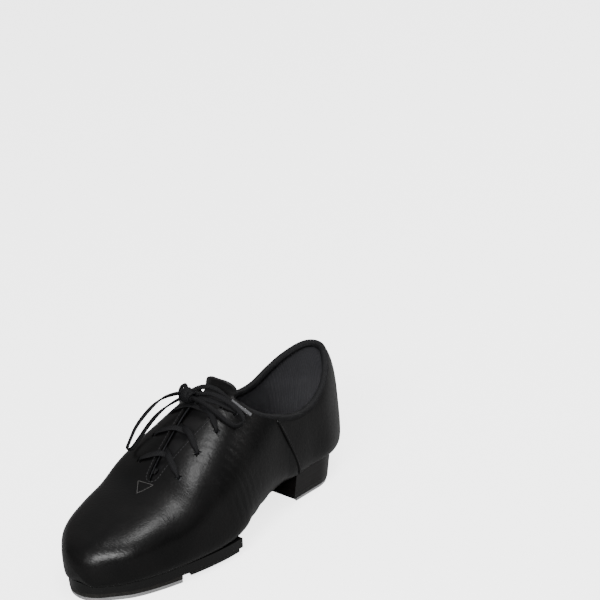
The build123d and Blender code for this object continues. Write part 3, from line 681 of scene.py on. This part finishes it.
def stack_material():
    """Dark polished heel: thin lines where the lifts meet, and fine lines between them."""
    made, tree, shader = new_material("heel_stack", (0.02, 0.014, 0.012), 0.32)
    vector = coordinates(tree)
    split = node(tree, "ShaderNodeSeparateXYZ")
    tree.links.new(vector, split.inputs["Vector"])
    stack_low, stack_high = 6.0 * MM, seat(187.0) * MM
    lift = (stack_high - stack_low) / 3
    level = math_node(tree, "DIVIDE", math_node(tree, "SUBTRACT", split.outputs["Z"], stack_low), lift)
    place = math_node(tree, "FRACT", level)
    near = math_node(tree, "MINIMUM", place, math_node(tree, "SUBTRACT", 1.0, place))
    joint = span(tree, near, 0.0, 1.0, 0.0, 0.07)
    thin = node(tree, "ShaderNodeTexWave", bands_direction="Z")
    thin.inputs["Scale"].default_value = 330.0
    thin.inputs["Distortion"].default_value = 0.8
    thin.inputs["Detail"].default_value = 3.0
    tree.links.new(vector, thin.inputs["Vector"])
    cloud = noise(tree, vector, 120.0, 5.0, 0.4)
    tint = math_node(tree, "MULTIPLY", span(tree, thin.outputs["Fac"], 0.7, 1.0), span(tree, cloud, 0.5, 1.3))
    tint = math_node(tree, "MULTIPLY", tint, span(tree, joint, 0.6, 1.0))
    color = ramp(tree, tint, (0.1, (0.0015, 0.0013, 0.0013)), (1.0, (0.006, 0.0048, 0.0044)))
    tree.links.new(color, shader.inputs["Base Color"])
    tree.links.new(span(tree, cloud, 0.24, 0.42), shader.inputs["Roughness"])
    bumps(tree, shader, (joint, 0.3, 0.0002), (thin.outputs["Fac"], 0.12, 0.0001))
    shader.inputs["Specular IOR Level"].default_value = 0.25
    return made


heel_stack = stack_material()


def film_material():
    """Clear plastic film of the lace tips, with faint wrinkles."""
    made, tree, shader = new_material("clear_film", (0.2, 0.2, 0.21), 0.12)
    shader.inputs["Alpha"].default_value = 0.3
    shader.inputs["IOR"].default_value = 1.5
    vector = coordinates(tree)
    crease = noise(tree, vector, 700.0, 4.0, 1.0)
    tree.links.new(span(tree, crease, 0.06, 0.2), shader.inputs["Roughness"])
    bumps(tree, shader, (crease, 0.3, 0.0002))
    return made


clear_film = film_material()

# ---- the laces: free cords first ---------------------------------------------------------------------
KNOT_CENTRE = Vector((-13.0, -3.0, 97.0))
KNOT_RADIUS = 5.0
LOOP_MEDIAL = [
    (-16.5, -5.5, 99.5), (-20.0, -14.5, 100.5), (-22.5, -24.5, 98.5), (-25.0, -33.5, 92.5),
    (-27.3, -41.5, 85.0), (-27.9, -47.1, 77.0), (-29.6, -49.3, 70.8), (-29.2, -45.0, 68.6),
    (-29.4, -36.8, 73.2), (-28.2, -28.6, 80.4), (-25.8, -20.3, 87.2), (-21.3, -12.2, 92.6),
    (-17.0, -6.0, 95.5),
]
LOOP_LATERAL = [
    (-9.0, -0.5, 98.5), (-2.0, 2.6, 100.2), (6.0, 5.0, 99.6), (13.5, 6.8, 96.6), (19.8, 8.4, 92.4),
    (25.6, 8.0, 88.2), (27.8, 5.2, 84.8), (26.2, 0.8, 83.8), (21.4, -2.2, 86.0), (15.2, -3.4, 90.4),
    (8.2, -4.4, 94.4), (-0.6, -4.8, 97.2), (-8.5, -4.6, 97.6),
]
END_LATERAL = [
    (-13.0, -3.5, 99.5), (-9.0, 0.5, 102.5), (-4.5, 4.0, 103.8), (0.5, 6.5, 103.4), (6.0, 7.6, 101.5),
    (11.5, 9.0, 97.6),
]
AGLET_LATERAL = (26.4, 15.6, 86.4)
END_MEDIAL = [
    (-15.0, -1.5, 97.5), (-18.5, 1.5, 99.3), (-23.0, 4.5, 99.4), (-28.0, 8.0, 97.0), (-32.3, 10.0, 91.8),
    (-35.0, 11.5, 85.5),
]
AGLET_MEDIAL = (-38.0, 16.0, 66.0)
LACE_WIDTH = 4.0
LACE_THICK = 1.4


def eased(values, count):
    """Values spread evenly over a count, with smooth change between them."""
    found = []
    for i in range(count):
        place = i / (count - 1) * (len(values) - 1)
        k = min(int(place), len(values) - 2)
        share = smooth_step(place - k)
        found.append(values[k] * (1 - share) + values[k + 1] * share)
    return found


def free_lace(name, points, widths, hints, cad_nodes):
    """Ribbon on the smooth line of a free lace, on the forefoot."""
    line = nurbs_line(name, points)
    count = len(line)
    hint_vectors = eased([Vector(h) for h in hints], count)
    thick = [LACE_THICK + 0.5 * (LACE_WIDTH - w) / LACE_WIDTH for w in eased(widths, count)]
    piece = ribbon(name, line, eased(widths, count), thick, hint_vectors, lace_braid)
    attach(piece, "forefoot")
    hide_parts(*cad_nodes)
    return piece, line


loop_medial, loop_medial_line = free_lace(
    "loop_medial", LOOP_MEDIAL, [3.0, 3.6, 3.6, 3.2, 3.6, 3.6, 3.0],
    [(0.3, 0.2, 1.0), (1.0, 0.1, 0.3), (1.0, -0.3, 0.3), (1.0, -0.2, 0.0), (1.0, 0.1, 0.2), (0.6, 0.2, 0.8)],
    ["lace_loop_medial"],
)
loop_lateral, loop_lateral_line = free_lace(
    "loop_lateral", LOOP_LATERAL, [3.0, 3.6, 3.4, 3.2, 3.4, 3.6, 3.0],
    [(0.1, 0.3, 1.0), (0.1, 0.8, 0.6), (0.3, 0.6, 0.8), (0.2, 0.2, 1.0), (0.1, 0.5, 0.9), (0.0, 0.3, 1.0)],
    ["lace_loop_lateral"],
)


def aglet(name, start, tip, cad_node):
    """Film wrapped round the end of the lace: an oval sleeve with the lace showing inside."""
    start, tip = Vector(start), Vector(tip)
    run = (tip - start).normalized()
    side = run.orthogonal().normalized()
    over = run.cross(side)
    rows = []
    size = [(0.0, 1.5), (0.04, 1.42), (0.1, 1.3), (0.5, 1.22), (0.9, 1.25), (0.97, 1.2), (1.0, 1.0)]
    for share, radius in size:
        centre = start + (tip - start) * share
        rows.append([
            centre + (side * math.cos(t) * radius + over * math.sin(t) * radius * 0.8)
            for t in [2 * math.pi * k / 20 for k in range(20)]
        ])
    for share, radius in reversed(size):
        centre = start + (tip - start) * (0.02 + 0.96 * share)
        rows.append([
            centre + (side * math.cos(t) * (radius - 0.2) + over * math.sin(t) * (radius * 0.8 - 0.2))
            for t in [2 * math.pi * k / 20 for k in range(20)]
        ])
    rows.append(rows[0])
    sleeve = grid_mesh(name, rows, clear_film, wrap=True, weld=1e-6)
    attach(sleeve, "forefoot")
    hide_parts(cad_node)
    core_line = [start + (tip - start) * s for s in (0.0, 0.2, 0.5, 0.8, 0.94)]
    core_widths, core_depths = [1.7, 1.6, 1.5, 1.5, 1.3], [1.2, 1.15, 1.1, 1.1, 0.9]
    core = ribbon(name + "_core", core_line, core_widths, core_depths, [side] * 5, lace_braid)
    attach(core, "forefoot")
    return sleeve, core


for side_name, points, tip, width_list, hint_list in (
    ("lateral", END_LATERAL, AGLET_LATERAL, [3.0, 3.4, 3.2, 1.9],
     [(0.1, 0.4, 1.0), (0.2, 0.5, 0.8), (0.2, 0.4, 0.9)]),
    ("medial", END_MEDIAL, AGLET_MEDIAL, [3.0, 3.4, 3.2, 1.9],
     [(0.3, 0.5, 0.8), (0.4, 0.8, 0.3), (0.5, 0.8, 0.2)]),
):
    last = Vector(points[-1])
    start_point = last + (Vector(tip) - last).normalized() * 3.0
    route = [*points, tuple(start_point)]
    end_piece, end_line = free_lace(
        f"end_{side_name}", route, width_list, hint_list, [f"lace_end_{side_name}"]
    )
    sleeve, core = aglet(f"aglet_{side_name}_film", start_point, tip, f"aglet_{side_name}")

# ---- the laced part: two halves through the holes, then the knot -------------------------------------
OVER = 1.7
UNDER = WALL + 1.3
DIVE = UNDER + 1.2
CROSS_ROOM = 1.45


def eyelet_place(row, side, outset):
    """Point on the axis of an eyelet."""
    distance, x = eyelet(row, side)
    return top_point(distance, x) + top_frame(distance, x)[0] * outset


def held_route(sign):
    """Route of one half of the lace, from the bottom bar to the knot."""
    points = [top_point(FIRST_EYELET, gap_line(FIRST_EYELET)[0] + sign * 2.0, DIVE)]
    side = sign
    for row in range(EYELET_PAIRS):
        distance = eyelet(row, side)[0]
        points.append(eyelet_place(row, side, -UNDER))
        points.append(eyelet_place(row, side, OVER))
        if row == EYELET_PAIRS - 1:
            break
        half_way = distance + EYELET_PITCH / 2
        centre, half = gap_line(half_way)
        lift = CROSS_ROOM if side > 0 else -CROSS_ROOM
        points.append(top_point(distance + 0.33 * EYELET_PITCH, centre + side * (half - 0.6), -OVER - 0.3))
        points.append(top_point(half_way, centre, 1.0 - lift))
        points.append(top_point(distance + 0.7 * EYELET_PITCH, centre - side * (half - 2.5), DIVE))
        side = -side
    to_knot = KNOT_CENTRE - points[-1]
    points.append(points[-1] + to_knot * 0.45 + Vector((0, 0, 3.5)))
    points.append(KNOT_CENTRE - to_knot.normalized() * (KNOT_RADIUS - 2.0))
    return points


eyelet_points = [eyelet_place(row, side, 0.0) for row in range(EYELET_PAIRS) for side in (1, -1)]
for side_name, sign in (("lateral", 1), ("medial", -1)):
    line = nurbs_line(f"half_{side_name}", held_route(sign), 12)
    widths, thick, hints = [], [], []
    for point in line:
        near = min((point - e).length for e in eyelet_points)
        share = smooth_step((near - 1.5) / 6.0)
        widths.append(2.5 + 1.7 * share)
        thick.append(1.7 - 0.5 * share)
        distance = max(60.0, min(150.0, point.y + HALF_LENGTH))
        hints.append(top_frame(distance, max(-26.0, min(20.0, point.x)))[1])
    half_piece = ribbon(f"half_{side_name}", line, widths, thick, hints, lace_braid)
    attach(half_piece, "forefoot")
    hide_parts(f"lace_half_{side_name}")

# turns of lace round the knot: centre offset, radii, axis of the turn
KNOT_TURNS = [
    ((0.0, 0.0, 0.0), (4.6, 5.2), (1.0, 0.1, 0.05), 4.4),
    ((-3.3, 0.3, -0.4), (4.2, 4.6), (0.95, 0.3, 0.1), 4.2),
    ((3.2, -0.2, -0.5), (4.0, 4.5), (0.95, -0.3, -0.15), 4.2),
    ((0.2, 0.2, 0.4), (4.2, 4.8), (0.5, 0.85, 0.1), 4.0),
]
for number, (offset, radii, axis, width) in enumerate(KNOT_TURNS):
    centre = KNOT_CENTRE + Vector(offset)
    axis = Vector(axis).normalized()
    flat = axis.orthogonal().normalized()
    other = axis.cross(flat)
    turn_line = []
    for k in range(33):
        t = 2 * math.pi * 1.02 * k / 32
        spiral = axis * (0.9 * (k / 32 - 0.5))
        turn_line.append(centre + flat * math.cos(t) * radii[0] + other * math.sin(t) * radii[1] + spiral)
    hints = [axis] * len(turn_line)
    knot_piece = ribbon(
        f"knot_turn_{number + 1}", turn_line, [width] * 33, [1.5] * 33, hints, lace_braid
    )
    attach(knot_piece, "forefoot")
    if number == 0:
        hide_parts("lace_knot")

# ---- upper: one skin from toe to heel, open for the laces and the foot -------------------------------
ROWS = 300
COLUMNS = 176


def skin_rows(inset, rows, columns):
    """Grid of points of the upper at a depth, from the lateral edge round the sole to the medial."""
    grid = []
    for j in range(rows):
        angle = 0.05 + (math.pi - 0.1) * j / (rows - 1)
        lateral, medial = open_turns(angle, inset)
        span_turn = 360.0 - (medial - lateral)
        grid.append([
            last_point(angle, lateral - span_turn * i / columns, inset) for i in range(columns + 1)
        ])
    return grid


def soft_shape(points):
    """Slight unevenness of worked leather: broad waves, creases at the side and gathers in the arch."""
    x, y, z = points[..., 0], points[..., 1], points[..., 2]
    waves = 0.22 * np.sin(x * 0.11 + y * 0.07 + 1.3) * np.sin(z * 0.12 - y * 0.05)
    # creases over the ball, where the foot bends, fading away from it
    bend = np.exp(-(((y + 28.0 - 0.35 * np.abs(x)) / 17.0) ** 2)) * np.clip((z - 22.0) / 14.0, 0, 1)
    bend = bend * np.clip((np.abs(x + 3.0) - 14.0) / 10.0, 0, 1)
    draw = y - 0.55 * np.abs(x) + 0.25 * z
    creases = 0.07 * bend * np.sin(draw * 0.9 + 1.6 * np.sin(x * 0.21 + z * 0.17))
    creases += 0.05 * bend * np.sin(draw * 1.9 + 2.0 * np.sin(z * 0.23 - x * 0.1))
    # gathers under the arch, drawn towards the seam in its middle
    arch = np.exp(-(((y - 14.0) / 26.0) ** 2)) * np.clip((30.0 - z) / 12.0, 0, 1)
    away = np.clip(np.abs(x) / 9.0, 0.15, 1)
    gathers = 0.35 * arch * np.sin(y * 0.42 + 0.9 * np.sin(x * 0.16 + y * 0.08)) * away
    return waves + creases + gathers


def skin(name, inset, rows, columns, thickness, material, shaped):
    """Closed mesh of one layer of the upper, with its eyelet holes."""
    grid = np.array([[tuple(p) for p in row] for row in skin_rows(inset, rows, columns)])
    ahead = np.gradient(grid, axis=0)
    aside = np.gradient(grid, axis=1)
    normals = np.cross(ahead, aside)
    normals /= np.maximum(np.linalg.norm(normals, axis=2, keepdims=True), 1e-9)
    centre = np.array([0.0, 0.0, 45.0])
    if np.sum(normals * (grid - centre)) < 0:
        normals = -normals
    if shaped:
        edge = np.minimum(np.arange(columns + 1), columns - np.arange(columns + 1))
        fade = np.clip(edge / 8.0, 0, 1)[None, :, None]
        grid = grid + normals * soft_shape(grid)[..., None] * fade
    mesh = bpy.data.meshes.new(name)
    build = bmesh.new()
    vertices = [[build.verts.new(Vector(p) * MM) for p in row] for row in grid]
    for j in range(rows - 1):
        for i in range(columns):
            build.faces.new((vertices[j][i], vertices[j][i + 1], vertices[j + 1][i + 1], vertices[j + 1][i]))
    for row, tip_y in ((vertices[0], -0.6), (vertices[-1], 0.4)):
        loop = row[:-1]
        middle_point = sum((v.co for v in loop), Vector()) / len(loop)
        tip = build.verts.new(middle_point + Vector((0, tip_y * MM, 0)))
        for a, b in zip(loop, row[1:]):
            build.faces.new((a, b, tip))
    bmesh.ops.remove_doubles(build, verts=build.verts[:], dist=2e-5)
    for hole in eyelet_points:
        inside = [v for v in build.verts if (v.co / MM - hole).length < 1.55 + inset * 0.2]
        ring = {e.other_vert(v) for v in inside for e in v.link_edges} - set(inside)
        for v in ring:
            away = v.co / MM - hole
            v.co = (hole + away.normalized() * max(1.75, away.length * 0.75)) * MM
        bmesh.ops.delete(build, geom=inside, context="VERTS")
    bmesh.ops.recalc_face_normals(build, faces=build.faces[:])
    for edge in build.edges:
        if edge.is_boundary:
            edge.smooth = False
    build.to_mesh(mesh)
    build.free()
    piece = new_object(name, mesh, material)
    solid = piece.modifiers.new("thickness", "SOLIDIFY")
    solid.thickness = thickness * MM
    solid.offset = -1.0
    solid.use_even_offset = False
    return piece


upper = skin("upper", 0.0, ROWS, COLUMNS, UPPER_LEATHER, upper_leather, True)
blend_arch(upper)
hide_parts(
    "vamp", "quarter_lateral", "quarter_medial", "arch_panel_lateral", "arch_panel_medial",
    "toe_puff", "heel_counter", "facing_stay_lateral", "facing_stay_medial",
)
lining = skin("lining", UPPER_LEATHER + 0.75, 200, 120, WALL - UPPER_LEATHER - 0.75, lining_cloth, False)
blend_arch(lining)
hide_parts("vamp_lining", "quarter_lining", "arch_lining")

# ---- topline binding ---------------------------------------------------------------------------------


def rim_line(inset):
    """Both top edges behind the facings, as one line from the lateral corner round the heel."""
    start, end = along(145.5), along(REAR_CLOSE)
    lateral_side, medial_side = [], []
    for j in range(90):
        angle = start + (end - start) * math.sin(math.pi / 2 * j / 89)
        lateral, medial = open_turns(angle, inset)
        lateral_side.append(last_point(angle, lateral, inset))
        medial_side.append(last_point(angle, medial, inset))
    line = lateral_side + list(reversed(medial_side))
    kept = [line[0]]
    for point in line[1:]:
        if (point - kept[-1]).length > 0.8:
            kept.append(point)
    return kept


rim = rim_line(0.0)
binding_rows = []
for index, (point, tangent) in enumerate(zip(rim, tangents(rim))):
    inward = Vector((-4.0, max(30.0, min(205.0 - HALF_LENGTH, point.y)), point.z)) - point
    inward.z = 0.0
    inward = (inward - tangent * inward.dot(tangent)).normalized()
    upward = tangent.cross(inward).normalized()
    if upward.z < 0:
        upward = -upward
    profile = [
        (-0.55, -3.6), (-0.7, -2.4), (-0.75, -1.2), (-0.6, -0.2), (-0.1, 0.55), (0.8, 0.95), (1.9, 1.0),
        (2.9, 0.75), (3.6, 0.15), (3.85, -0.8), (3.85, -2.2), (3.7, -3.5), (3.1, -3.55), (0.1, -3.65),
    ]
    taper = smooth_step(min(index, len(rim) - 1 - index) / 3.0)
    binding_rows.append([
        point + inward * (a * (0.55 + 0.45 * taper) + 0.3 * (1 - taper)) + upward * b * (0.6 + 0.4 * taper)
        for a, b in profile
    ])
binding = grid_mesh("topline_binding", binding_rows, binding_tape, wrap=True, caps=True)
blend_arch(binding)
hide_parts("topline_binding_front", "topline_binding_rear")

# ---- sock lining -------------------------------------------------------------------------------------
SOCK_TOP = 6.4
sock_rows = []
for j in range(120):
    distance = 9.0 + (250.0 - 9.0) * j / 119
    level = seat(distance) + SOCK_TOP
    right, left = side_point(distance, level, 1, WALL), side_point(distance, level, -1, WALL)
    row = []
    for i in range(33):
        share = i / 32
        point = right.lerp(left, share)
        point.z = level + 0.35 * math.cos(math.pi * (share - 0.5) * 2) - 0.35
        row.append(point)
    sock_rows.append(row)
sock = grid_mesh("sock", sock_rows, sock_leather)
thick = sock.modifiers.new("thickness", "SOLIDIFY")
thick.thickness = 1.1 * MM
thick.offset = -1.0
blend_arch(sock)
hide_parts("sock_lining_front", "sock_lining_rear", "sock_lining_arch")

# ---- tongue ------------------------------------------------------------------------------------------
TONGUE_INSET = WALL + 4.5
TONGUE_THICK = 2.2
TONGUE_LASTED = [
    (69, 15, 3.0), (75, 17.5, 0.2), (85, 19, 0), (97, 20, 0), (110, 20.5, 0), (124, 19, 0), (138, 16.5, 0),
]
TONGUE_FREE = [
    (16.8, 92.8, 12.8, 50), (18.4, 95.8, 13.2, 75), (18.6, 99.0, 12.3, 88), (18.2, 101.6, 9.5, 92),
    (18.0, 103.0, 5.0, 94),
]
TONGUE_CENTRE = -5.4
ACROSS = 24


def tongue_stations(depth):
    """Rows of points across the tongue at a depth below its face, at each drawn station."""
    rows = []
    for distance, half, closer in TONGUE_LASTED:
        centre = gap_line(distance)[0]
        rows.append([
            top_point(distance, centre + half * (2 * i / ACROSS - 1), TONGUE_INSET - closer + depth)
            for i in range(ACROSS + 1)
        ])
        for i, point in enumerate(rows[-1]):
            point.y = distance - HALF_LENGTH
    distance = TONGUE_LASTED[-1][0]
    centre = gap_line(distance)[0]
    top = top_point(distance, centre)
    for y, z, half, lean in TONGUE_FREE:
        c, s = math.cos(math.radians(lean)), math.sin(math.radians(lean))
        row = []
        for i in range(ACROSS + 1):
            x = half * (2 * i / ACROSS - 1)
            drop = top_point(distance, centre + x, depth).z - top.z
            row.append(Vector((TONGUE_CENTRE + x, y - s * drop, z + c * drop)))
        rows.append(row)
    return rows


def smooth_rows(rows, steps):
    """Rows between the given ones, on smooth curves through them."""
    found = []
    for j in range(len(rows) - 1):
        p0, p1, p2, p3 = rows[max(j - 1, 0)], rows[j], rows[j + 1], rows[min(j + 2, len(rows) - 1)]
        for k in range(steps):
            t = k / steps
            found.append([
                0.5 * (
                    2 * b + (c - a) * t + (2 * a - 5 * b + 4 * c - d) * t**2
                    + (3 * b - a - 3 * c + d) * t**3
                )
                for a, b, c, d in zip(p0, p1, p2, p3)
            ])
    found.append(rows[-1])
    return found


def tongue_layer(name, low, high, material):
    """Closed layer of the tongue between two depths, with a rounded edge."""
    upper_rows = smooth_rows(tongue_stations(low), 8)
    lower_rows = smooth_rows(tongue_stations(high), 8)
    rows = []
    for above, below in zip(upper_rows, lower_rows):
        half_up = [a.lerp(b, 0.5) for a, b in zip(above, below)]
        left = half_up[0] + (half_up[0] - half_up[1]).normalized() * 0.5 * (high - low)
        right = half_up[-1] + (half_up[-1] - half_up[-2]).normalized() * 0.5 * (high - low)
        rows.append([left, *above, right, *reversed(below)])
    piece = grid_mesh(name, rows, material, wrap=True, caps=True)
    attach(piece, "tongue_body")
    return piece


tongue = tongue_layer("tongue_face", 0.0, 1.4, tongue_leather)
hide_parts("tongue")
tongue_back = tongue_layer("tongue_back", 1.45, TONGUE_THICK, lining_cloth)
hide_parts("tongue_lining")


# ---- stitching and seams -----------------------------------------------------------------------------
def tube_rows(line, radius, hint, corners=8):
    rows = []
    for point, tangent in zip(line, tangents(line)):
        side = (hint - tangent * hint.dot(tangent)).normalized()
        over = tangent.cross(side)
        rows.append([
            point + side * math.cos(2 * math.pi * k / corners) * radius
            + over * math.sin(2 * math.pi * k / corners) * radius
            for k in range(corners)
        ])
    return rows


def stitches(name, line, pitch, length, radius, material):
    """Row of short rounded stitches along a line that lies on the surface."""
    build = bmesh.new()
    travelled, due = 0.0, pitch / 2
    for a, b in zip(line, line[1:]):
        step = (b - a).length
        while due <= travelled + step and step > 0:
            centre = a.lerp(b, (due - travelled) / step)
            run = (b - a).normalized()
            sizes = ((-0.5, 0.25), (-0.38, 0.8), (0.0, 1.0), (0.38, 0.8), (0.5, 0.25))
            spots = [centre + run * (share * length) for share, _ in sizes]
            rings = []
            side = run.orthogonal().normalized()
            over = run.cross(side)
            for spot, (_, size) in zip(spots, sizes):
                rings.append([
                    build.verts.new((spot + (side * math.cos(t) + over * math.sin(t)) * radius * size) * MM)
                    for t in [math.pi * k / 3 for k in range(6)]
                ])
            for one, two in zip(rings, rings[1:]):
                for k in range(6):
                    build.faces.new((one[k], one[(k + 1) % 6], two[(k + 1) % 6], two[k]))
            build.faces.new(list(reversed(rings[0])))
            build.faces.new(rings[-1])
            due += pitch
        travelled += step
    bmesh.ops.recalc_face_normals(build, faces=build.faces[:])
    mesh = bpy.data.meshes.new(name)
    build.to_mesh(mesh)
    build.free()
    return new_object(name, mesh, material)


def facing_edge(sign, margin, outset):
    """Line beside the gap, from near its foot to the top corner."""
    line = []
    for k in range(60):
        distance = THROAT + 1.0 + (FACING_TOP - THROAT - 3.5) * k / 59
        centre, half = gap_line(distance)
        line.append(top_point(distance, centre + sign * (half + margin), -outset))
    return line


def foot_of_gap(margin, outset):
    """Curve round the foot of the gap."""
    line = []
    for k in range(25):
        turn = math.pi * k / 24
        radius = GAP_AT_THROAT / 2 + margin
        x, distance = radius * math.cos(turn), THROAT + 1.0 - radius * math.sin(turn)
        line.append(top_point(distance, x, -outset))
    return line


edge_line = list(reversed(facing_edge(1, 2.0, 0.05))) + foot_of_gap(2.0, 0.05) + facing_edge(-1, 2.0, 0.05)
facing_stitches = stitches("facing_stitches", edge_line, 2.5, 1.9, 0.26, black_thread)
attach(facing_stitches, "forefoot")

# bar tack below the gap: a small triangle in paler thread
TACK = [(-8.0, 67.0), (-1.5, 58.5), (4.6, 68.0)]
tack_line = []
for (x0, d0), (x1, d1) in zip(TACK, TACK[1:] + TACK[:1]):
    for k in range(12):
        share = k / 12
        tack_line.append(top_point(d0 + (d1 - d0) * share, x0 + (x1 - x0) * share, -0.08))
tack_line.append(tack_line[0])
bar_tack = stitches("bar_tack", tack_line, 1.15, 1.1, 0.24, pale_thread)
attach(bar_tack, "forefoot")


def side_seam(sign, shift, outset):
    """Line of the side seam from the topline to the front of the heel."""
    line = []
    for k in range(50):
        share = k / 49
        y = 38.2 + shift + 19.8 * share + 1.6 * math.sin(math.pi * share)
        distance = y + HALF_LENGTH
        high = seat(distance) + rim_over_seat(along(distance)) - 3.2
        z = high + (25.0 - high) * share
        line.append(side_point(distance, z, sign, -outset))
    return line


for side_name, sign in (("lateral", 1), ("medial", -1)):
    ridge = grid_mesh(
        f"side_seam_{side_name}", tube_rows(side_seam(sign, 0.0, 0.2), 0.8, Vector((sign, 0, 0))),
        upper_leather, wrap=True, caps=True,
    )
    blend_arch(ridge)
    row = stitches(f"side_stitches_{side_name}", side_seam(sign, 2.0, 0.1), 2.5, 1.8, 0.24, black_thread)
    blend_arch(row)

# back seam: from the top edge down the heel, then a little way under it
BACK_TOP = REAR_CLOSE + 0.6
BACK_END = 257.8
BACK_TUCK = 5.5
back_line = []
for k in range(30):
    share = math.sin(math.pi / 2 * k / 29)
    distance = BACK_TOP + (BACK_END - BACK_TOP) * share
    back_line.append(last_point(along(distance), 90.0, -0.1))
for k in range(24):
    distance = BACK_END - BACK_TUCK * (1 - math.cos(math.pi / 2 * k / 23))
    back_line.append(last_point(along(distance), 270.0, -0.1))
back_rows = tube_rows(back_line, 0.6, Vector((1, 0, 0)))
back_seam = grid_mesh("back_seam", back_rows, upper_leather, wrap=True, caps=True)
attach(back_seam, "heel_part")

arch_line = [last_point(along(106.0 + 82.0 * k / 59), 270.0, -0.1) for k in range(60)]
arch_rows = tube_rows(arch_line, 0.7, Vector((1, 0, 0)))
arch_seam = grid_mesh("arch_seam", arch_rows, upper_leather, wrap=True, caps=True)
blend_arch(arch_seam)
for number, shift in ((1, -2.4), (2, 2.4)):
    line = [p + Vector((shift, 0, -0.1)) for p in arch_line]
    row = stitches(f"arch_stitches_{number}", line, 2.8, 2.0, 0.28, black_thread)
    blend_arch(row)

# ---- finishes of the CAD pieces that stay ------------------------------------------------------------
FINISHES = {
    "outsole_forefoot": outsole_leather, "rubber_half_sole": rubber_diamond, "toe_tap_board": tap_board,
    "toe_tap": aluminium, "toe_tap_screws": steel, "heel_tap": aluminium, "heel_tap_screws": steel,
    "heel_top_piece": heel_tan, "heel_lift_1": heel_stack, "heel_lift_2": heel_stack,
    "heel_lift_3": heel_stack, "heel_nails": steel, "insole_board_front": insole_fibre,
    "insole_board_rear": insole_fibre,
}
for name, material in FINISHES.items():
    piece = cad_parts[name]
    piece.data.materials.clear()
    piece.data.materials.append(material)

# ---- floor and light ---------------------------------------------------------------------------------
floor_mesh = bpy.data.meshes.new("floor")
floor_mesh.from_pydata([(-6, -6, 0), (6, -6, 0), (6, 6, 0), (-6, 6, 0)], [], [(0, 1, 2, 3)])
floor_material, floor_tree, floor_shader = new_material("floor_paint", (0.86, 0.86, 0.86), 0.7)
floor_tone = noise(floor_tree, coordinates(floor_tree), 3.0, 3.0)
floor_color = ramp(floor_tree, floor_tone, (0.0, (0.85, 0.85, 0.85)), (1.0, (0.89, 0.89, 0.89)))
rays = floor_tree.nodes.new("ShaderNodeLightPath")
seen = node(floor_tree, "ShaderNodeMix", data_type="RGBA")
floor_tree.links.new(rays.outputs["Is Camera Ray"], seen.inputs["Factor"])
seen.inputs[6].default_value = (0.25, 0.25, 0.25, 1.0)
floor_tree.links.new(floor_color, seen.inputs[7])
floor_tree.links.new(seen.outputs[2], floor_shader.inputs["Base Color"])
floor_shader.inputs["Emission Color"].default_value = (1.0, 1.0, 1.0, 1.0)
glow = span(floor_tree, rays.outputs["Is Camera Ray"], 0.0, 3.0)
floor_tree.links.new(glow, floor_shader.inputs["Emission Strength"])
floor = new_object("floor", floor_mesh, floor_material, smooth=False)
floor.location.z = -0.0002

world = bpy.data.worlds.new("studio")
world.use_nodes = True
world.node_tree.nodes["Background"].inputs["Color"].default_value = (1.0, 1.0, 1.0, 1.0)
sky = world.node_tree
sky_split = sky.nodes.new("ShaderNodeSeparateXYZ")
sky.links.new(coordinates(sky, "Generated"), sky_split.inputs["Vector"])
sky_level = span(sky, sky_split.outputs["Z"], 0.12, 0.5)
sky.links.new(sky_level, sky.nodes["Background"].inputs["Strength"])
scene.world = world


def soft_light(name, spot, target, size, power):
    data = bpy.data.lights.new(name, "AREA")
    data.shape = "RECTANGLE"
    data.size, data.size_y = size
    data.energy = power
    lamp = bpy.data.objects.new(name, data)
    scene.collection.objects.link(lamp)
    lamp.location = spot
    lamp.rotation_mode = "QUATERNION"
    lamp.rotation_quaternion = (Vector(target) - Vector(spot)).to_track_quat("-Z", "Y")


soft_light("key", (0.62, -1.3, 1.0), (0, 0, 0.04), (0.9, 0.35), 34.0)
soft_light("top", (0.3, -0.1, 1.7), (0, 0, 0.05), (0.5, 0.5), 15.0)
soft_light("back_light", (0.5, 1.6, 0.9), (0, 0, 0.05), (1.0, 0.5), 14.0)
